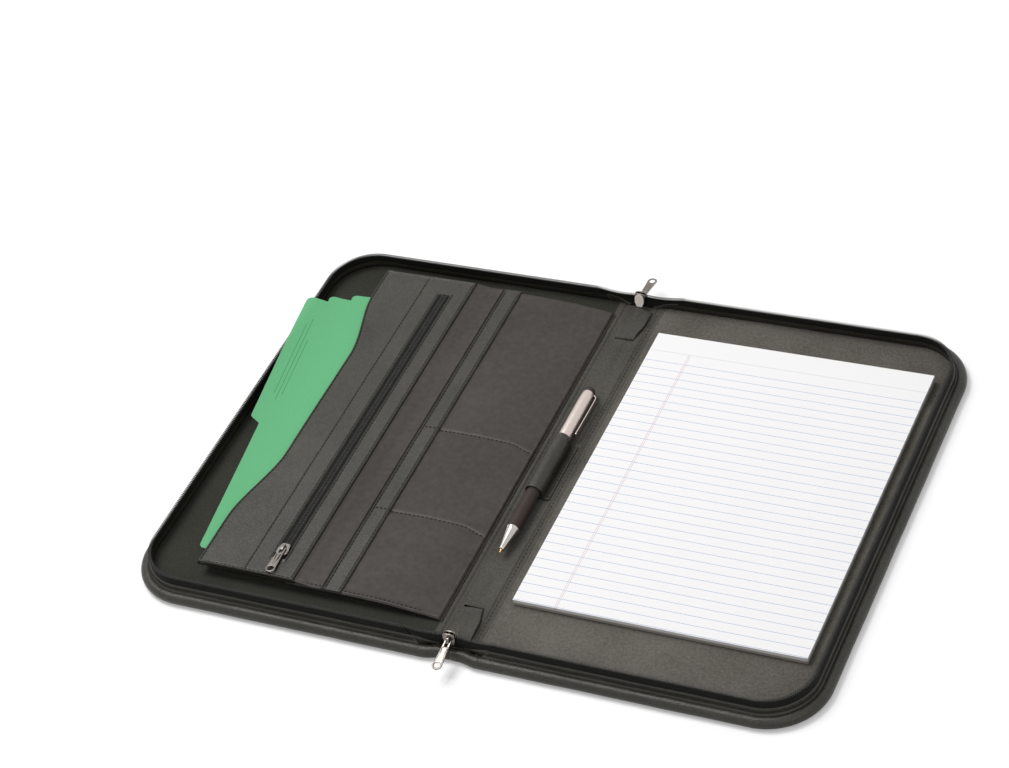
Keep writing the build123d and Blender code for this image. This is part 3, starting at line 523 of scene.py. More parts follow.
# Main zip: joined ends
# Below each slider the closed zip goes on under a leatherette tongue that runs in to its slit.
tongue_skin = skin("tongue leatherette", "#33322d", "#4a4842", 1.2, 0.1, 0.6, 50, 0.2)
tongue_end, tongue_thick, tongue_half, tongue_flare = slider_y - 6.0, 1.0, 7.6, 3.4
for end, name in ((-1, "bottom"), (1, "top")):
    u = np.linspace(0, 1, 60)[:, None]
    v = np.concatenate([np.linspace(-1, 1, 25), np.linspace(1, -1, 25)])
    under = np.concatenate([np.zeros(25), np.ones(25)])
    half = tongue_half + tongue_flare * ease((1 - u) / 0.55)
    y = tongue_end + (slit_y - 0.2 - tongue_end) * u
    sink = np.interp(v, [-1, -0.2, 1], [-0.5, 0.8, 0.8])
    ridge = 3.6 * (1 - u) ** 2 * np.clip(1.1 - np.abs(v), 0, 1) ** 1.3
    free = 2.2 * ease((v - 0.2) / 0.8) * np.sin(np.pi * np.clip(u / 0.97, 0, 1)) ** 0.7
    dip = 2.2 * np.clip((u - 0.96) / 0.04, 0, 1) ** 2
    z = lining_top + sink + ridge + free - dip + 0.25 * waves(9 * v, y, 22, 19) - tongue_thick * under
    tongue = grid(np.stack(np.broadcast_arrays(half * v, end * y, z), -1), wrap=True, caps=True)
    t, k = np.meshgrid(np.linspace(-1, 1, 12), np.linspace(0, 1, 10))
    wide = np.interp(k, [0, 0.67, 1], [gore_half, gore_neck, gore_neck])
    gore = np.stack([wide * t, end * (slider_y + 0 * k), wall_foot + 9 * k], 2)
    stub = shape(f"zip_tongue_{name}", tongue_skin, tongue)
    bridge = shape(f"zip_bridge_{name}", tape_black, grid(gore, facing=(0, end, 0)))
    for piece, slot in ((stub, "leatherette"), (bridge, "zip_tape")):
        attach(piece, "spine")
    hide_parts(f"zip_end_{name}")


# Sliders
# Nickel-plated cast sliders: two shield-shaped plates on a post, rolled side flanges on the front plate,
# and a bridge that holds the pull. The two on the main zip have a pale shield at the back, a painted
# reflection of the light.
def metal(name, tint, rough, streak):
    """A metal whose roughness drifts a little over streak mm."""
    made, tree, shader = material(name, Base_Color=colour(tint), Metallic=1.0)
    place = node(tree, "ShaderNodeTexCoord").outputs["Object"]
    drift = node(tree, "ShaderNodeTexNoise", {"Vector": place, "Scale": 1000 / streak, "Detail": 2.0})
    dull = node(tree, "ShaderNodeMapRange", {"Value": drift.outputs["Fac"], "To Min": 0.7 * rough,
                                             "To Max": 1.3 * rough})
    tree.links.new(dull.outputs["Result"], shader.inputs["Roughness"])
    return made


nickel = metal("polished nickel", "#837d77", 0.3, 4.0)


def loft(outline, steps):
    """Rings of an anticlockwise outline, one for each (inset, height): moved in by inset, set at height."""
    run = np.roll(outline, -1, 0) - np.roll(outline, 1, 0)
    out = np.stack([run[:, 1], -run[:, 0]], 1) / np.linalg.norm(run, axis=1, keepdims=True)
    return np.stack([np.column_stack([outline - out * inset, np.full(len(outline), height)])
                     for inset, height in steps])


def slab(outline, low, high, bevel):
    """A closed plate from z low to high with its rim rounded by bevel."""
    near, far = 0.3 * bevel, bevel
    return grid(loft(outline, ((far, low), (near, low + near), (0, low + far), (0, high - far),
                               (near, high - near), (far, high))), wrap=True, caps=True)


def rounded(corners, radius, steps=6):
    """Outline of a polygon, anticlockwise, with each corner cut round: a quadratic curve over radius mm."""
    corners = np.array(corners, float)
    t = np.linspace(0, 1, steps)[:, None]
    points = []
    for before, here, after in zip(np.roll(corners, 1, 0), corners, np.roll(corners, -1, 0)):
        start = here + (before - here) * min(radius / np.linalg.norm(before - here), 0.5)
        stop = here + (after - here) * min(radius / np.linalg.norm(after - here), 0.5)
        points.append((1 - t) ** 2 * start + 2 * t * (1 - t) * here + t * t * stop)
    return np.concatenate(points)


def bar(path, width, thick):
    """A flat bar of rounded section along a path in the (y, z) plane, width along x."""
    run = np.gradient(path, axis=0)
    run /= np.linalg.norm(run, axis=1, keepdims=True)
    out = np.stack([-run[:, 1], run[:, 0]], 1)
    corner = rounded([(-width / 2, -thick / 2), (width / 2, -thick / 2), (width / 2, thick / 2),
                      (-width / 2, thick / 2)], 0.3, 4)
    yz = path[:, None] + out[:, None] * corner[None, :, 1:]
    x = np.broadcast_to(corner[None, :, :1], (*yz.shape[:2], 1))
    return grid(np.concatenate([x, yz], 2), wrap=True, caps=True)


def placed(parts, place):
    """Moves parts by a 4x4 matrix in mm."""
    return [(points @ place[:3, :3].T + place[:3, 3], quads, ends) for points, quads, ends in parts]


def frame_at(origin, x, z):
    """The 4x4 place with that origin, x and z directions."""
    x, z = np.array(x, float), np.array(z, float)
    place = np.eye(4)
    place[:3, 0], place[:3, 1], place[:3, 2], place[:3, 3] = x, np.cross(z, x), z, origin
    return place


def slider_parts(room, back):
    """A slider with its mouth to +y and its front to +z: plates room apart, the back one back mm thick."""
    shield = rounded([(-3.2, -5.5), (3.2, -5.5), (4.5, 1.8), (4.5, 4.4), (2.2, 5.5), (-2.2, 5.5),
                      (-4.5, 4.4), (-4.5, 1.8)], 1.4)
    half = room / 2
    top = half + 1.1
    parts = [slab(shield, half, top, 0.3), slab(shield, -half - back, -half, min(0.3, back * 0.4))]
    parts.append(slab(rounded([(-0.4, 2.0), (0.4, 2.0), (0.4, 4.4), (-0.4, 4.4)], 0.15), -half, half, 0.05))
    for hand in (-1, 1):
        flange = np.array([(-5.0, top - 0.25), (-3, top - 0.25), (0, top - 0.2), (1.6, top - 0.2)])
        points, quads, ends = bar(flange, 0.9, 0.6)
        points[:, 0] += hand * (3.05 + 0.17 * (points[:, 1] + 5))
        parts.append((points, quads, ends))
    angle = np.linspace(0, np.pi / 2, 7)
    rise = np.array([(-2.55, top - 0.3), (-2.55, top + 0.6)])
    left = np.stack([-1.65 - 0.9 * np.cos(angle), top + 1.15 + 0.9 * np.sin(angle)], 1)
    arch = np.concatenate([rise, left, left[::-1] * (-1, 1), rise[::-1] * (-1, 1)])
    parts.append(bar(arch, 2.0, 0.9))
    return parts


main_z = 15.9
inner_zip_x, inner_slider_y, inner_slider_z = -153.0, -134.5, 18.1
outer_slider_y, outer_slider_z = 156.5, 4.9
sliders = {
    "bottom_slider": (frame_at((0, -slider_y, main_z), (1, 0, 0), (0, -1, 0)), 1.8, 1.1),
    "top_slider": (frame_at((0, slider_y, main_z), (-1, 0, 0), (0, 1, 0)), 1.8, 1.1),
    "inner_slider": (frame_at((inner_zip_x, inner_slider_y, inner_slider_z), (-1, 0, 0), upward), 2.0, 1.1),
    "outer_slider": (frame_at((outer_zip_x, outer_slider_y, outer_slider_z), (-1, 0, 0), downward),
                     2.0, 0.5),
}
for name, (place, room, back) in sliders.items():
    body = shape(f"{name}_body", nickel, *placed(slider_parts(room, back), place))
    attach(body, name)
    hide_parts(name)


# Painted reflection: the main sliders' back shields are a pale non-metal that stands in for the light the
# nickel reflects.
pale = skin("shield painted reflection", "#e2d9d3", "#efe7e1", 0.5, 0.02, 0.5, 3, 0.4)
arch = rounded([(-2.4, -4.6), (2.4, -4.6), (2.6, -3.2), (3.7, -1.2), (3.7, 2.0), (2.6, 4.4), (0, 5.3),
                (-2.6, 4.4), (-3.7, 2.0), (-3.7, -1.2), (-2.6, -3.2)], 1.0)
for name in ("bottom_slider", "top_slider"):
    place, room, back = sliders[name]
    points, quads, ends = slab(arch, -room / 2 - back - 0.3, -room / 2 - back + 0.1, 0.12)
    points[:, 2] += 0.3 * (points[:, 1] - 5.3)
    plate = shape(f"{name}_shield", pale, *placed([(points, quads, ends)], place))
    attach(plate, name)


# Pulls
# Tapered nickel tabs with a raised rim and a round hole, hung on the bridge by a bar between two legs.
def pull_parts():
    """A pull swinging about x and running along +y: a rimmed tab with a hole, two legs and a round bar."""
    hole_y, hole_radius, tip_radius = 20.3, 2.3, 3.7
    turn = np.linspace(-0.1 * np.pi, 1.1 * np.pi, 28)
    tip = np.stack([tip_radius * np.cos(turn), hole_y + tip_radius * np.sin(turn)], 1)
    flank = np.linspace(1, 0, 10)[:, None]
    left = (1 - flank) * np.array([-2.6, 5.2]) + flank * tip[-1]
    right = (1 - flank[::-1]) * np.array([2.6, 5.2]) + flank[::-1] * tip[0]
    outline = np.concatenate([tip, left[1:], right[:-1]])
    spin = np.arctan2(outline[:, 1] - hole_y, outline[:, 0])
    hole = np.stack([hole_radius * np.cos(spin), hole_y + hole_radius * np.sin(spin)], 1)
    rings = loft(outline, ((1.3, -0.3), (1.1, -0.3), (0.9, -0.5), (0.2, -0.5), (0, -0.3), (0, 0.3),
                           (0.2, 0.5), (0.9, 0.5), (1.1, 0.3), (1.3, 0.3)))
    eye = loft(hole, ((-0.35, 0.3), (-0.15, 0.3), (0, 0.15), (0, -0.15), (-0.15, -0.3), (-0.35, -0.3)))
    parts = [grid(np.concatenate([rings, eye, rings[:1]]), wrap=True)]
    for hand in (-1, 1):
        leg = rounded([(1.3, -0.35), (2.5, -0.35), (2.6, 5.6), (1.3, 5.6)], 0.3, 4) * (hand, 1)
        parts.append(slab(leg[::hand], -0.5, 0.5, 0.2))
    spin = np.linspace(0, 2 * np.pi, 17)[:-1]
    x = np.array([-2.4, -1.4, 1.4, 2.4])[:, None]
    rod = np.stack(np.broadcast_arrays(x, 0.5 * np.cos(spin), 0.5 * np.sin(spin)), 2)
    parts.append(grid(rod, wrap=True, caps=True))
    return parts


droop, main_axis_out, pocket_axis_out = math.radians(8), 2.8, 2.9
tilt_y, tilt_z = math.sin(droop), -math.cos(droop)
main_axis_y = slider_y + main_axis_out
inner_axis_z, outer_axis_z = inner_slider_z + pocket_axis_out, outer_slider_z - pocket_axis_out
pulls = {
    "bottom_pull": frame_at((0, -main_axis_y, main_z), (1, 0, 0), (0, tilt_y, tilt_z)),
    "top_pull": frame_at((0, main_axis_y, main_z), (-1, 0, 0), (0, -tilt_y, tilt_z)),
    "inner_pull": frame_at((inner_zip_x, inner_slider_y, inner_axis_z), (-1, 0, 0), upward),
    "outer_pull": frame_at((outer_zip_x, outer_slider_y, outer_axis_z), (1, 0, 0), downward),
}
for name, place in pulls.items():
    tab = shape(f"{name}_tab", nickel, *placed(pull_parts(), place))
    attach(tab, name)
    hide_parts(name)


# Pad pocket
# A lining panel sewn to the back cover on three sides, open at a hemmed slit under the pad's head.
def fine(low, high, step, *marks):
    """Positions from low to high about step apart, with 0.2 mm steps within 1.2 mm of each mark."""
    close = [mark + np.arange(-1.2, 1.21, 0.2) for mark in marks]
    every = np.concatenate([np.linspace(low, high, int((high - low) / step) + 2), *close])
    return np.unique(np.clip(every, low, high).round(2))


def hem(edge, thick, stitch):
    """Height over a sewn edge: rounds up to thick, swells at 1 mm and is pressed in along the stitches."""
    return (thick * (1 - np.exp(-np.clip(edge, 0, None) / 0.45)) + 0.5 * np.exp(-(((edge - 1) / 0.7) ** 2))
            - 0.35 * np.exp(-(((edge - stitch) / 0.45) ** 2)))


panel_low, panel_high = mm_box("pad_pocket_panel")
panel_inset = case_far - panel_high[0]
x, y = cover_rows(1, panel_inset, panel_low[0], case_far, panel_low[1], panel_high[1], 150, 100)
t = np.linspace(0, 1, 100) ** 1.7
x = x[:, :1] + (x[:, -1:] - x[:, :1]) * t
edge = np.minimum(np.minimum(x - panel_low[0], panel_high[0] - x), y - panel_low[1])
z = lining_top + 0.2 + hem(edge, 1.5, 2.6) + 0.1 * waves(x, y, 70, 23)
top_hem = [np.stack([x[-1], y[-1] + along, z[-1] - drop], 1) for along, drop in ((0.3, 0.5), (-0.2, 1.4))]
panel = np.concatenate([np.stack([x, y, z], 2), np.stack(top_hem)])
pad_panel = shape("pad_pocket", lining["back"], grid(panel, facing=upward))
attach(pad_panel, "back_cover")
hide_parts("pad_pocket_panel")


# Writing pad
# Ruled white sheets glued along the head, with a perforated line below it and a double margin line. Their
# sides more than 3 mm below the top are painted grey: painted shade that makes the stack look thinner.
paper, tree, shader = material("ruled paper", Roughness=0.85, Specular_IOR_Level=0.2)
spot = node(tree, "ShaderNodeSeparateXYZ", {0: node(tree, "ShaderNodeTexCoord").outputs["Object"]})


def maths(tree, first, kind, second=0.0):
    """The result of one maths node on two values."""
    return node(tree, "ShaderNodeMath", {0: first, 1: second}, operation=kind).outputs[0]


def near_line(tree, value, at, half):
    """1 where value is within half of at, both in metres."""
    gap = maths(tree, maths(tree, value, "SUBTRACT", at), "ABSOLUTE")
    return maths(tree, gap, "LESS_THAN", half)


def tinted(tree, base, cover_up, tint):
    """base with tint laid over it where cover_up is 1."""
    mixed = node(tree, "ShaderNodeMix", data_type="RGBA")
    tree.links.new(cover_up, mixed.inputs[0])
    tree.links.new(base, mixed.inputs[6])
    mixed.inputs[7].default_value = colour(tint)
    return mixed.outputs[2]


sheet_low, sheet_high = mm_box("pad_sheets")
rule_pitch, rule_first, tear_line, margin_in, margin_gap = 8.05, 29.0, 18.0, 31.7, 1.4
cuts_per_metre, cut_share, white_deep = 700.0, 0.6, 3
page = node(tree, "ShaderNodeRGB")
page.outputs[0].default_value = colour("#f4f3f3")
page = page.outputs[0]
drop = maths(tree, float(sheet_high[1]) / 1000, "SUBTRACT", spot.outputs["Y"])
count = maths(tree, maths(tree, drop, "SUBTRACT", rule_first / 1000 - 0.004), "DIVIDE", rule_pitch / 1000)
ruled = near_line(tree, maths(tree, count, "FRACT"), 0.5, 0.026)
ruled = maths(tree, ruled, "MULTIPLY", maths(tree, count, "GREATER_THAN", 0.0))
page = tinted(tree, page, ruled, "#9db2d2")
torn = maths(tree, drop, "GREATER_THAN", tear_line / 1000)
for offset in (margin_in, margin_in + margin_gap):
    margin = near_line(tree, spot.outputs["X"], (sheet_low[0] + offset) / 1000, 0.0002)
    page = tinted(tree, page, maths(tree, margin, "MULTIPLY", torn), "#d3c0c8")
cuts = maths(tree, maths(tree, spot.outputs["X"], "MULTIPLY", cuts_per_metre), "FRACT")
dots = maths(tree, cuts, "LESS_THAN", cut_share)
perforated = near_line(tree, drop, tear_line / 1000, 0.00018)
page = tinted(tree, page, maths(tree, perforated, "MULTIPLY", dots), "#a9a7a5")
# Painted shade: the sheets' sides below the top 3 mm get a grey tint, so the stack looks thinner.
painted_side_shade = maths(tree, spot.outputs["Z"], "LESS_THAN", float(sheet_high[2] - white_deep) / 1000)
page = tinted(tree, page, painted_side_shade, "#a59f98")
tree.links.new(page, shader.inputs["Base Color"])

sheet_mid = (sheet_low + sheet_high) / 2
x, y = np.meshgrid(np.linspace(sheet_low[0], sheet_high[0], 60),
                   np.linspace(sheet_low[1], sheet_high[1], 78))
curl_rise, curl_x, curl_y = 0.5, 200, -90
curl = curl_rise * np.clip((x - curl_x) / 43, 0, 1) ** 2 * np.clip((curl_y - y) / 44, 0, 1) ** 2
top = np.stack([x, y, sheet_high[2] - 0.15 + 0.12 * waves(x, y, 150, 31) + curl], 2)


def border(sheet):
    """The points round a grid, once round."""
    return np.concatenate([sheet[0], sheet[1:, -1], sheet[-1, -2::-1], sheet[-2:0:-1, 0]])


rim = border(top)
push = np.random.default_rng(41).uniform(-0.16, 0.02, 15)
push[0] = 0
layers = []
for depth, out in zip(np.linspace(0, 1, 15), push):
    ring = rim.copy()
    from_mid = rim[:, :2] - sheet_mid[:2]
    ring[:, :2] += np.sign(from_mid) * out * (np.abs(from_mid) > sheet_high[:2] - sheet_mid[:2] - 0.1)
    ring[:, 2] = rim[:, 2] * (1 - depth) + (sheet_low[2] + 0.05) * depth
    layers.append(ring)
sheets = shape("pad_paper", paper, grid(top, facing=upward), grid(np.stack(layers), wrap=True))
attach(sheets, "pad")
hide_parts("pad_sheets")


def plate_outline(low, high, margin, radius):
    """Rounded rectangle inside a CAD box, margin mm within it."""
    (left, near), (right, far) = low[:2] + margin, high[:2] - margin
    return rounded([(left, near), (right, near), (right, far), (left, far)], radius, 3)


board = skin("grey board", "#857f77", "#969088", 0.8, 0.05, 0.9, 30, 0.2)
low, high = mm_box("pad_backing")
backing = shape("pad_board", board,
                slab(plate_outline(low, high, 0.1, 0.6), low[2] + 0.05, high[2] - 0.05, 0.1))
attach(backing, "pad")
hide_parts("pad_backing")

glue = skin("padding glue", "#e0dcd5", "#efece7", 1.2, 0.05, 0.6, 12, 0.3)
low, high = mm_box("pad_head")
head = shape("pad_binding", glue,
             slab(plate_outline(low, high, 0.05, 0.2), low[2] + 0.05, high[2] - 0.2, 0.1))
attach(head, "pad")
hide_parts("pad_head")


# File pocket: vinyl face
# Thin smooth vinyl that rises over a round shoulder from its seam beside the spine. Two sewn lines divide it
# into card pockets and pull it in.
vinyl = skin("soft vinyl", "#37332f", "#46423e", 2.6, 0.05, 0.44, 90, 0.2)
face_low, face_high = mm_box("card_panel")
seam_x, face_top = face_high[0], face_high[2] - 0.1
divide_y, divide_slope, divide_reach = (10.0, -76.0), 0.03, -116.0


def divide_at(x, y):
    """Height of the sewn line that crosses at y: it drifts with x and turns down over the shoulder."""
    return y + divide_slope * (x + 64) - 5.0 * ease((x + 40) / 23)


def face_height(x, y):
    """Vinyl over the pocket: level, sloping down towards the spine to a rolled edge 1 - exp(-d / 0.9)."""
    away = np.clip(seam_x - x, 0, None)
    steep = 1.8 * (1 - np.exp(-np.clip(away - 0.9, 0, None) / 0.9))
    rise = steep + (face_top - lining_top - 2.8) * (1 - (1 - np.clip((away - 1) / 62, 0, 1)) ** 1.7)
    groove = 0.5 * np.exp(-(((away - 0.9) / 0.4) ** 2)) - 0.35 * np.exp(-(((away - 2.3) / 0.8) ** 2))
    ripple = 0.12 * waves(x * 0.5, y, 30, 43) + 0.05 * waves(x * 0.3, y, 11, 44)
    press = sum(np.exp(-(((y - divide_at(x, at)) / 1.3) ** 2)) for at in divide_y) * (x > divide_reach)
    edge = np.minimum(y - face_low[1], face_high[1] - y)
    sewn = 0.35 * np.exp(-(((edge - 2) / 1.2) ** 2)) - 0.6 * np.exp(-((edge / 0.7) ** 2))
    return lining_top + 1 + rise - groove + ripple - 0.55 * press + sewn


xs = fine(-140, seam_x, 1.6, seam_x - 1.2, seam_x - 3)
ys = fine(face_low[1], face_high[1], 2.0, face_low[1], face_low[1] + 2, face_high[1])
x, y = np.meshgrid(xs, np.unique(np.concatenate([ys, *[at + np.arange(-8, 4, 0.4) for at in divide_y]])))
z = face_height(x, y)
foot = np.stack([x[0], y[0] + 0.1, z[0] - 0.9], 1)[None]
head = np.stack([x[-1], y[-1] - 0.1, z[-1] - 0.9], 1)[None]
card_face = shape("card_face", vinyl,
                  grid(np.concatenate([foot, np.stack([x, y, z], 2), head]), facing=upward))
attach(card_face, "front_cover")
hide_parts("card_panel")


# File pocket: gussets
# Pleated lining cloth that joins the pocket's face to the cover at both ends.
for name, way in (("bottom", 1), ("top", -1)):
    low, high = mm_box(f"pocket_gusset_{name}")
    lip = low[1] + 0.5 if way > 0 else high[1] - 0.5
    deep = high[1] - low[1] - 1.0
    t, x = np.meshgrid(np.linspace(0, 1, 14), np.linspace(low[0] - 10, high[0] - 2, 70))
    y = lip + way * deep * (1 - np.abs(2 * t - 1)) ** 0.9 * np.clip((seam_x - x) / 26, 0.2, 1)
    z = lining_top + 0.1 + (face_height(x, 0 * x) - lining_top - 0.8) * t
    # The gussets take the front lining's darker tone, which is painted shade.
    pleat = shape(f"gusset_{name}", lining["front"],
                  grid(np.stack([x, y + 0.4 * waves(x, 30 * t, 40, 47), z], 2), facing=(0, -way, 0)))
    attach(pleat, "front_cover")
    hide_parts(f"pocket_gusset_{name}")


# Zip panel
# Padded leatherette face of the zipped pocket, with a scooped, hemmed left edge and a window for the zip.
zip_low, zip_high = mm_box("zip_panel")
scoop_deep, scoop_ramp, scoop_from, scoop_to = 13.0, 70.0, -114.0, 137.0
hem_base, hem_thick, hem_stitch = zip_high[2] - 1.7, 1.6, 2.0
sewn_x = -173.4
slot_half, slot_low, slot_high, slot_stitch = 4.5, -142.0, 146.0, 1.9
slot_mid, slot_long = (slot_low + slot_high) / 2, (slot_high - slot_low) / 2


def scoop(y):
    """Left edge of the pocket, moving in by 13 mm between two smooth 70 mm ramps."""
    return zip_low[0] + scoop_deep * ease((scoop_to - y) / scoop_ramp) * ease((y - scoop_from) / scoop_ramp)


def panel_height(x, y):
    """Padded face with hems on its outer edges, lips at the zip's window and a sewn line beside it."""
    edge = np.minimum(np.minimum(x - scoop(y), zip_high[0] - x), np.minimum(y - zip_low[1], zip_high[1] - y))
    sewn = -0.4 * np.exp(-(((x - sewn_x) / 0.6) ** 2))
    gap = np.maximum(np.abs(x - inner_zip_x) - slot_half, np.abs(y - slot_mid) - slot_long)
    lips = (0.4 * np.exp(-(((gap - 0.9) / 0.55) ** 2)) - 1.2 * np.exp(-np.clip(gap, 0, None) / 0.4)
            - 0.35 * np.exp(-(((gap - slot_stitch) / 0.4) ** 2)))
    return hem_base + hem(edge, hem_thick, hem_stitch) + sewn + lips + 0.18 * waves(x, y, 42, 53)


slot_left, slot_right = inner_zip_x - slot_half, inner_zip_x + slot_half
tall = fine(zip_low[1], zip_high[1], 2.4, zip_low[1], zip_low[1] + hem_stitch, zip_high[1],
            slot_low, slot_high)
patches = []
for left, right, low, high in ((zip_low[0], slot_left, zip_low[1], zip_high[1]),
                               (slot_right, zip_high[0], zip_low[1], zip_high[1]),
                               (slot_left, slot_right, zip_low[1], slot_low),
                               (slot_left, slot_right, slot_high, zip_high[1])):
    wide = fine(left, right, 1.8, left, left + hem_stitch, sewn_x, right - slot_stitch, right)
    x, y = np.meshgrid(wide, tall[(tall >= low) & (tall <= high)])
    x = x + (scoop(y) - zip_low[0]) * ease((-178 - x) / 26)
    patches.append(grid(np.stack([x, y, panel_height(x, y)], 2), facing=upward))
side_y = np.linspace(zip_low[1], zip_high[1], 140)
right_y = np.linspace(zip_low[1], zip_high[1], 40)
head_x = np.linspace(zip_high[0], zip_low[0], 40)[1:]
base_x = np.linspace(zip_low[0], zip_high[0], 40)[1:-1]
outline = np.concatenate([np.column_stack([np.full(40, zip_high[0]), right_y]),
                          np.column_stack([head_x, np.full(39, zip_high[1])]),
                          np.column_stack([scoop(side_y), side_y])[::-1][1:],
                          np.column_stack([base_x, np.full(38, zip_low[1])])])
skirt = loft(outline, ((0.0, hem_base - 0.05), (-0.25, hem_base - 0.8), (-0.1, zip_low[2] + 0.2),
                       (1.0, zip_low[2] - 0.1)))
zip_face = shape("zip_face", leatherette, *patches, grid(skirt, wrap=True))
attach(zip_face, "front_cover")
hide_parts("zip_panel")


# Lap and strap
# The vinyl laps up beside the zip panel, and a stitched leatherette strap runs beside it over the cards.
def band(low, high, stitch, seed, climb):
    """A strip along y inside a CAD box: hemmed long edges with skirts, its left edge up by climb mm."""
    x = fine(low[0], high[0], 1.4, low[0], low[0] + stitch, high[0] - stitch, high[0])
    y = np.linspace(low[1], high[1], 130)[:, None]
    edge = np.minimum(x - low[0], high[0] - x)
    z = low[2] + hem(edge, high[2] - low[2] - 0.1, stitch) + 0.1 * waves(x, y, 33, seed)
    z = z + climb * ease((low[0] + 15 - x) / 15)
    strip = np.stack(np.broadcast_arrays(x, y, z), 2)
    left, right = strip[:, :1] - (0, 0, 0.6), strip[:, -1:] - (0, 0, 0.6)
    return grid(np.concatenate([left, strip, right], 1), facing=upward)


lap_low, lap_high = mm_box("card_lap")
lap = shape("lap_band", vinyl, band(lap_low, lap_high, 30, 59, 1.9))
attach(lap, "front_cover")
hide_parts("card_lap")
strap_low, strap_high = mm_box("card_strap")
strap_stitch = 2.0
strap = shape("strap_band", leatherette, band(strap_low, strap_high, strap_stitch, 61, 0))
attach(strap, "front_cover")
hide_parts("card_strap")


# Pocket zips
# Two black tapes with nylon coils that meet under the slider, inside and on the outside of the front cover.
pocket_coil_width, pocket_coil_height, pocket_wire = 1.05, 0.4, 0.34
for name, mid, way in (("inner", inner_zip_x, 1), ("outer", outer_zip_x, -1)):
    low, high = mm_box(f"{name}_zip_tape")
    face = high[2] if way > 0 else low[2]
    bands, combs = [], []
    for hand in (-1, 1):
        t, y = np.meshgrid(np.linspace(0.0, 8.0, 8), np.linspace(low[1], high[1], 120))
        bands.append(grid(np.stack([mid + hand * t, y, face + 0 * t], 2), facing=(0, 0, way)))
        y = np.linspace(low[1] + 3, high[1] - 3, 300)
        centre = np.column_stack([np.full(300, mid + hand * pocket_coil_width), y,
                                  np.full(300, face + way * 0.3)])
        across = np.broadcast_to([hand * 1.0, 0, 0], centre.shape)
        combs.append(coil(centre, across, pocket_coil_width, pocket_coil_height, coil_pitch, pocket_wire))
    tapes = shape(f"{name}_tapes", tape_black, *bands)
    coils = shape(f"{name}_coils", coil_black, *combs)
    for piece, part, finish in ((tapes, "tape", "zip_tape"), (coils, "teeth", "zip_coil")):
        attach(piece, "front_cover")
        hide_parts(f"{name}_zip_{part}")


# Divider cards
# Green tabbed card, three sheets fanned by about 15 mm each, bent up where they cross the zip wall.
card_stock, tree, shader = material("green card", Roughness=0.8, Specular_IOR_Level=0.2)
spot = node(tree, "ShaderNodeSeparateXYZ", {0: node(tree, "ShaderNodeUVMap", uv_map="card").outputs["UV"]})
fibre = node(tree, "ShaderNodeTexNoise", {"Vector": node(tree, "ShaderNodeTexCoord").outputs["Object"],
                                          "Scale": 900.0, "Detail": 3.0})
face = node(tree, "ShaderNodeMix", {0: fibre.outputs["Fac"]}, data_type="RGBA")
face.inputs[6].default_value = colour("#5fa977")
face.inputs[7].default_value = colour("#6cb885")
face = face.outputs[2]
card_lines = ((0.0035, 0.148, 0.038), (0.0065, 0.148, 0.044), (0.0095, 0.140, 0.030))
for at, middle, half in card_lines:
    mark = near_line(tree, spot.outputs["X"], at - 0.003, 0.00022)
    mark = maths(tree, mark, "MULTIPLY", near_line(tree, spot.outputs["Y"], middle + 0.05, half))
    face = tinted(tree, face, mark, "#3c8759")
tree.links.new(face, shader.inputs["Base Color"])

turn = math.radians(6.7)
corner_x, corner_y, card_long, card_deep, card_corner = -220.5, -144.0, 264.0, 130.0, 4.0
tab_deep, tab_from, tab_turn = 8.0, 127.0, 6.0
fan_x, fan_y, card_thick = 15.0, 9.0, 0.4
lift_from, lift_to, lift_rise, card_sag = -212.0, -252.5, 8.2, 3.0
for index in range(3):
    v = np.unique(np.concatenate([np.linspace(0, card_corner, 9),
                                  np.linspace(card_corner, card_long - card_corner, 150),
                                  np.linspace(card_long - card_corner, card_long, 9)]))[:, None]
    left = -tab_deep * ease((v - tab_from) / tab_turn)
    into = np.clip(np.maximum(card_corner - v, v - card_long + card_corner), 0, card_corner)
    left = left + card_corner - np.sqrt(card_corner**2 - into**2)
    u = left + (card_deep - left) * np.linspace(0, 1, 46) ** 1.3
    v = np.broadcast_to(v, u.shape)
    x = corner_x + fan_x * index + u * math.cos(turn) - v * math.sin(turn)
    y = corner_y + fan_y * index + u * math.sin(turn) + v * math.cos(turn)
    z = mm_box(f"divider_card_{index + 1}")[0][2] + card_thick / 2
    bend = np.clip((lift_from - x) / (lift_from - lift_to), 0, None)
    z = z + lift_rise * np.where(bend < 1, bend**2, 1 + 0.3 * (bend - 1)) - card_sag * ease((x + 130) / 80)
    z = z + 0.15 * waves(x, y, 120, 61 + index) * ease((lift_from - x) / 10)
    layers = [np.stack([x, y, z + way * 0.42 * card_thick], 2) for way in (1, -1)]
    flat = np.stack([u, v], 2)
    card = shape(f"card_{index + 1}", card_stock, grid(layers[0], facing=upward),
                 grid(layers[1], facing=downward),
                 grid(np.stack([border(layer) for layer in layers]), wrap=True))
    chart = np.concatenate([flat.reshape(-1, 2)] * 2 + [border(flat)] * 2) / 1000
    layer = card.data.uv_layers.new(name="card")
    corners = np.zeros(len(card.data.loops), np.int32)
    card.data.loops.foreach_get("vertex_index", corners)
    layer.data.foreach_set("uv", chart[corners].astype(np.float32).ravel())
    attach(card, "cards")
    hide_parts(f"divider_card_{index + 1}")


# Pen
# Champagne-silver twist barrel with a clip and a stylus dome, dark soft grip, chrome cone and a brass point.
pen_z, pen_radius = 13.8, mm_box("pen_barrel")[1][0]


def lathe(profile, steps=64):
    """Surface of a profile (radius, y) turned about the pen's axis."""
    profile = np.array(profile, float)
    turn = np.linspace(0, 2 * np.pi, steps + 1)[:-1]
    r, y = profile[:, :1], profile[:, 1:]
    turned = np.stack(np.broadcast_arrays(r * np.cos(turn), y, pen_z + r * np.sin(turn)), 2)
    return grid(turned, wrap=True, caps=True)


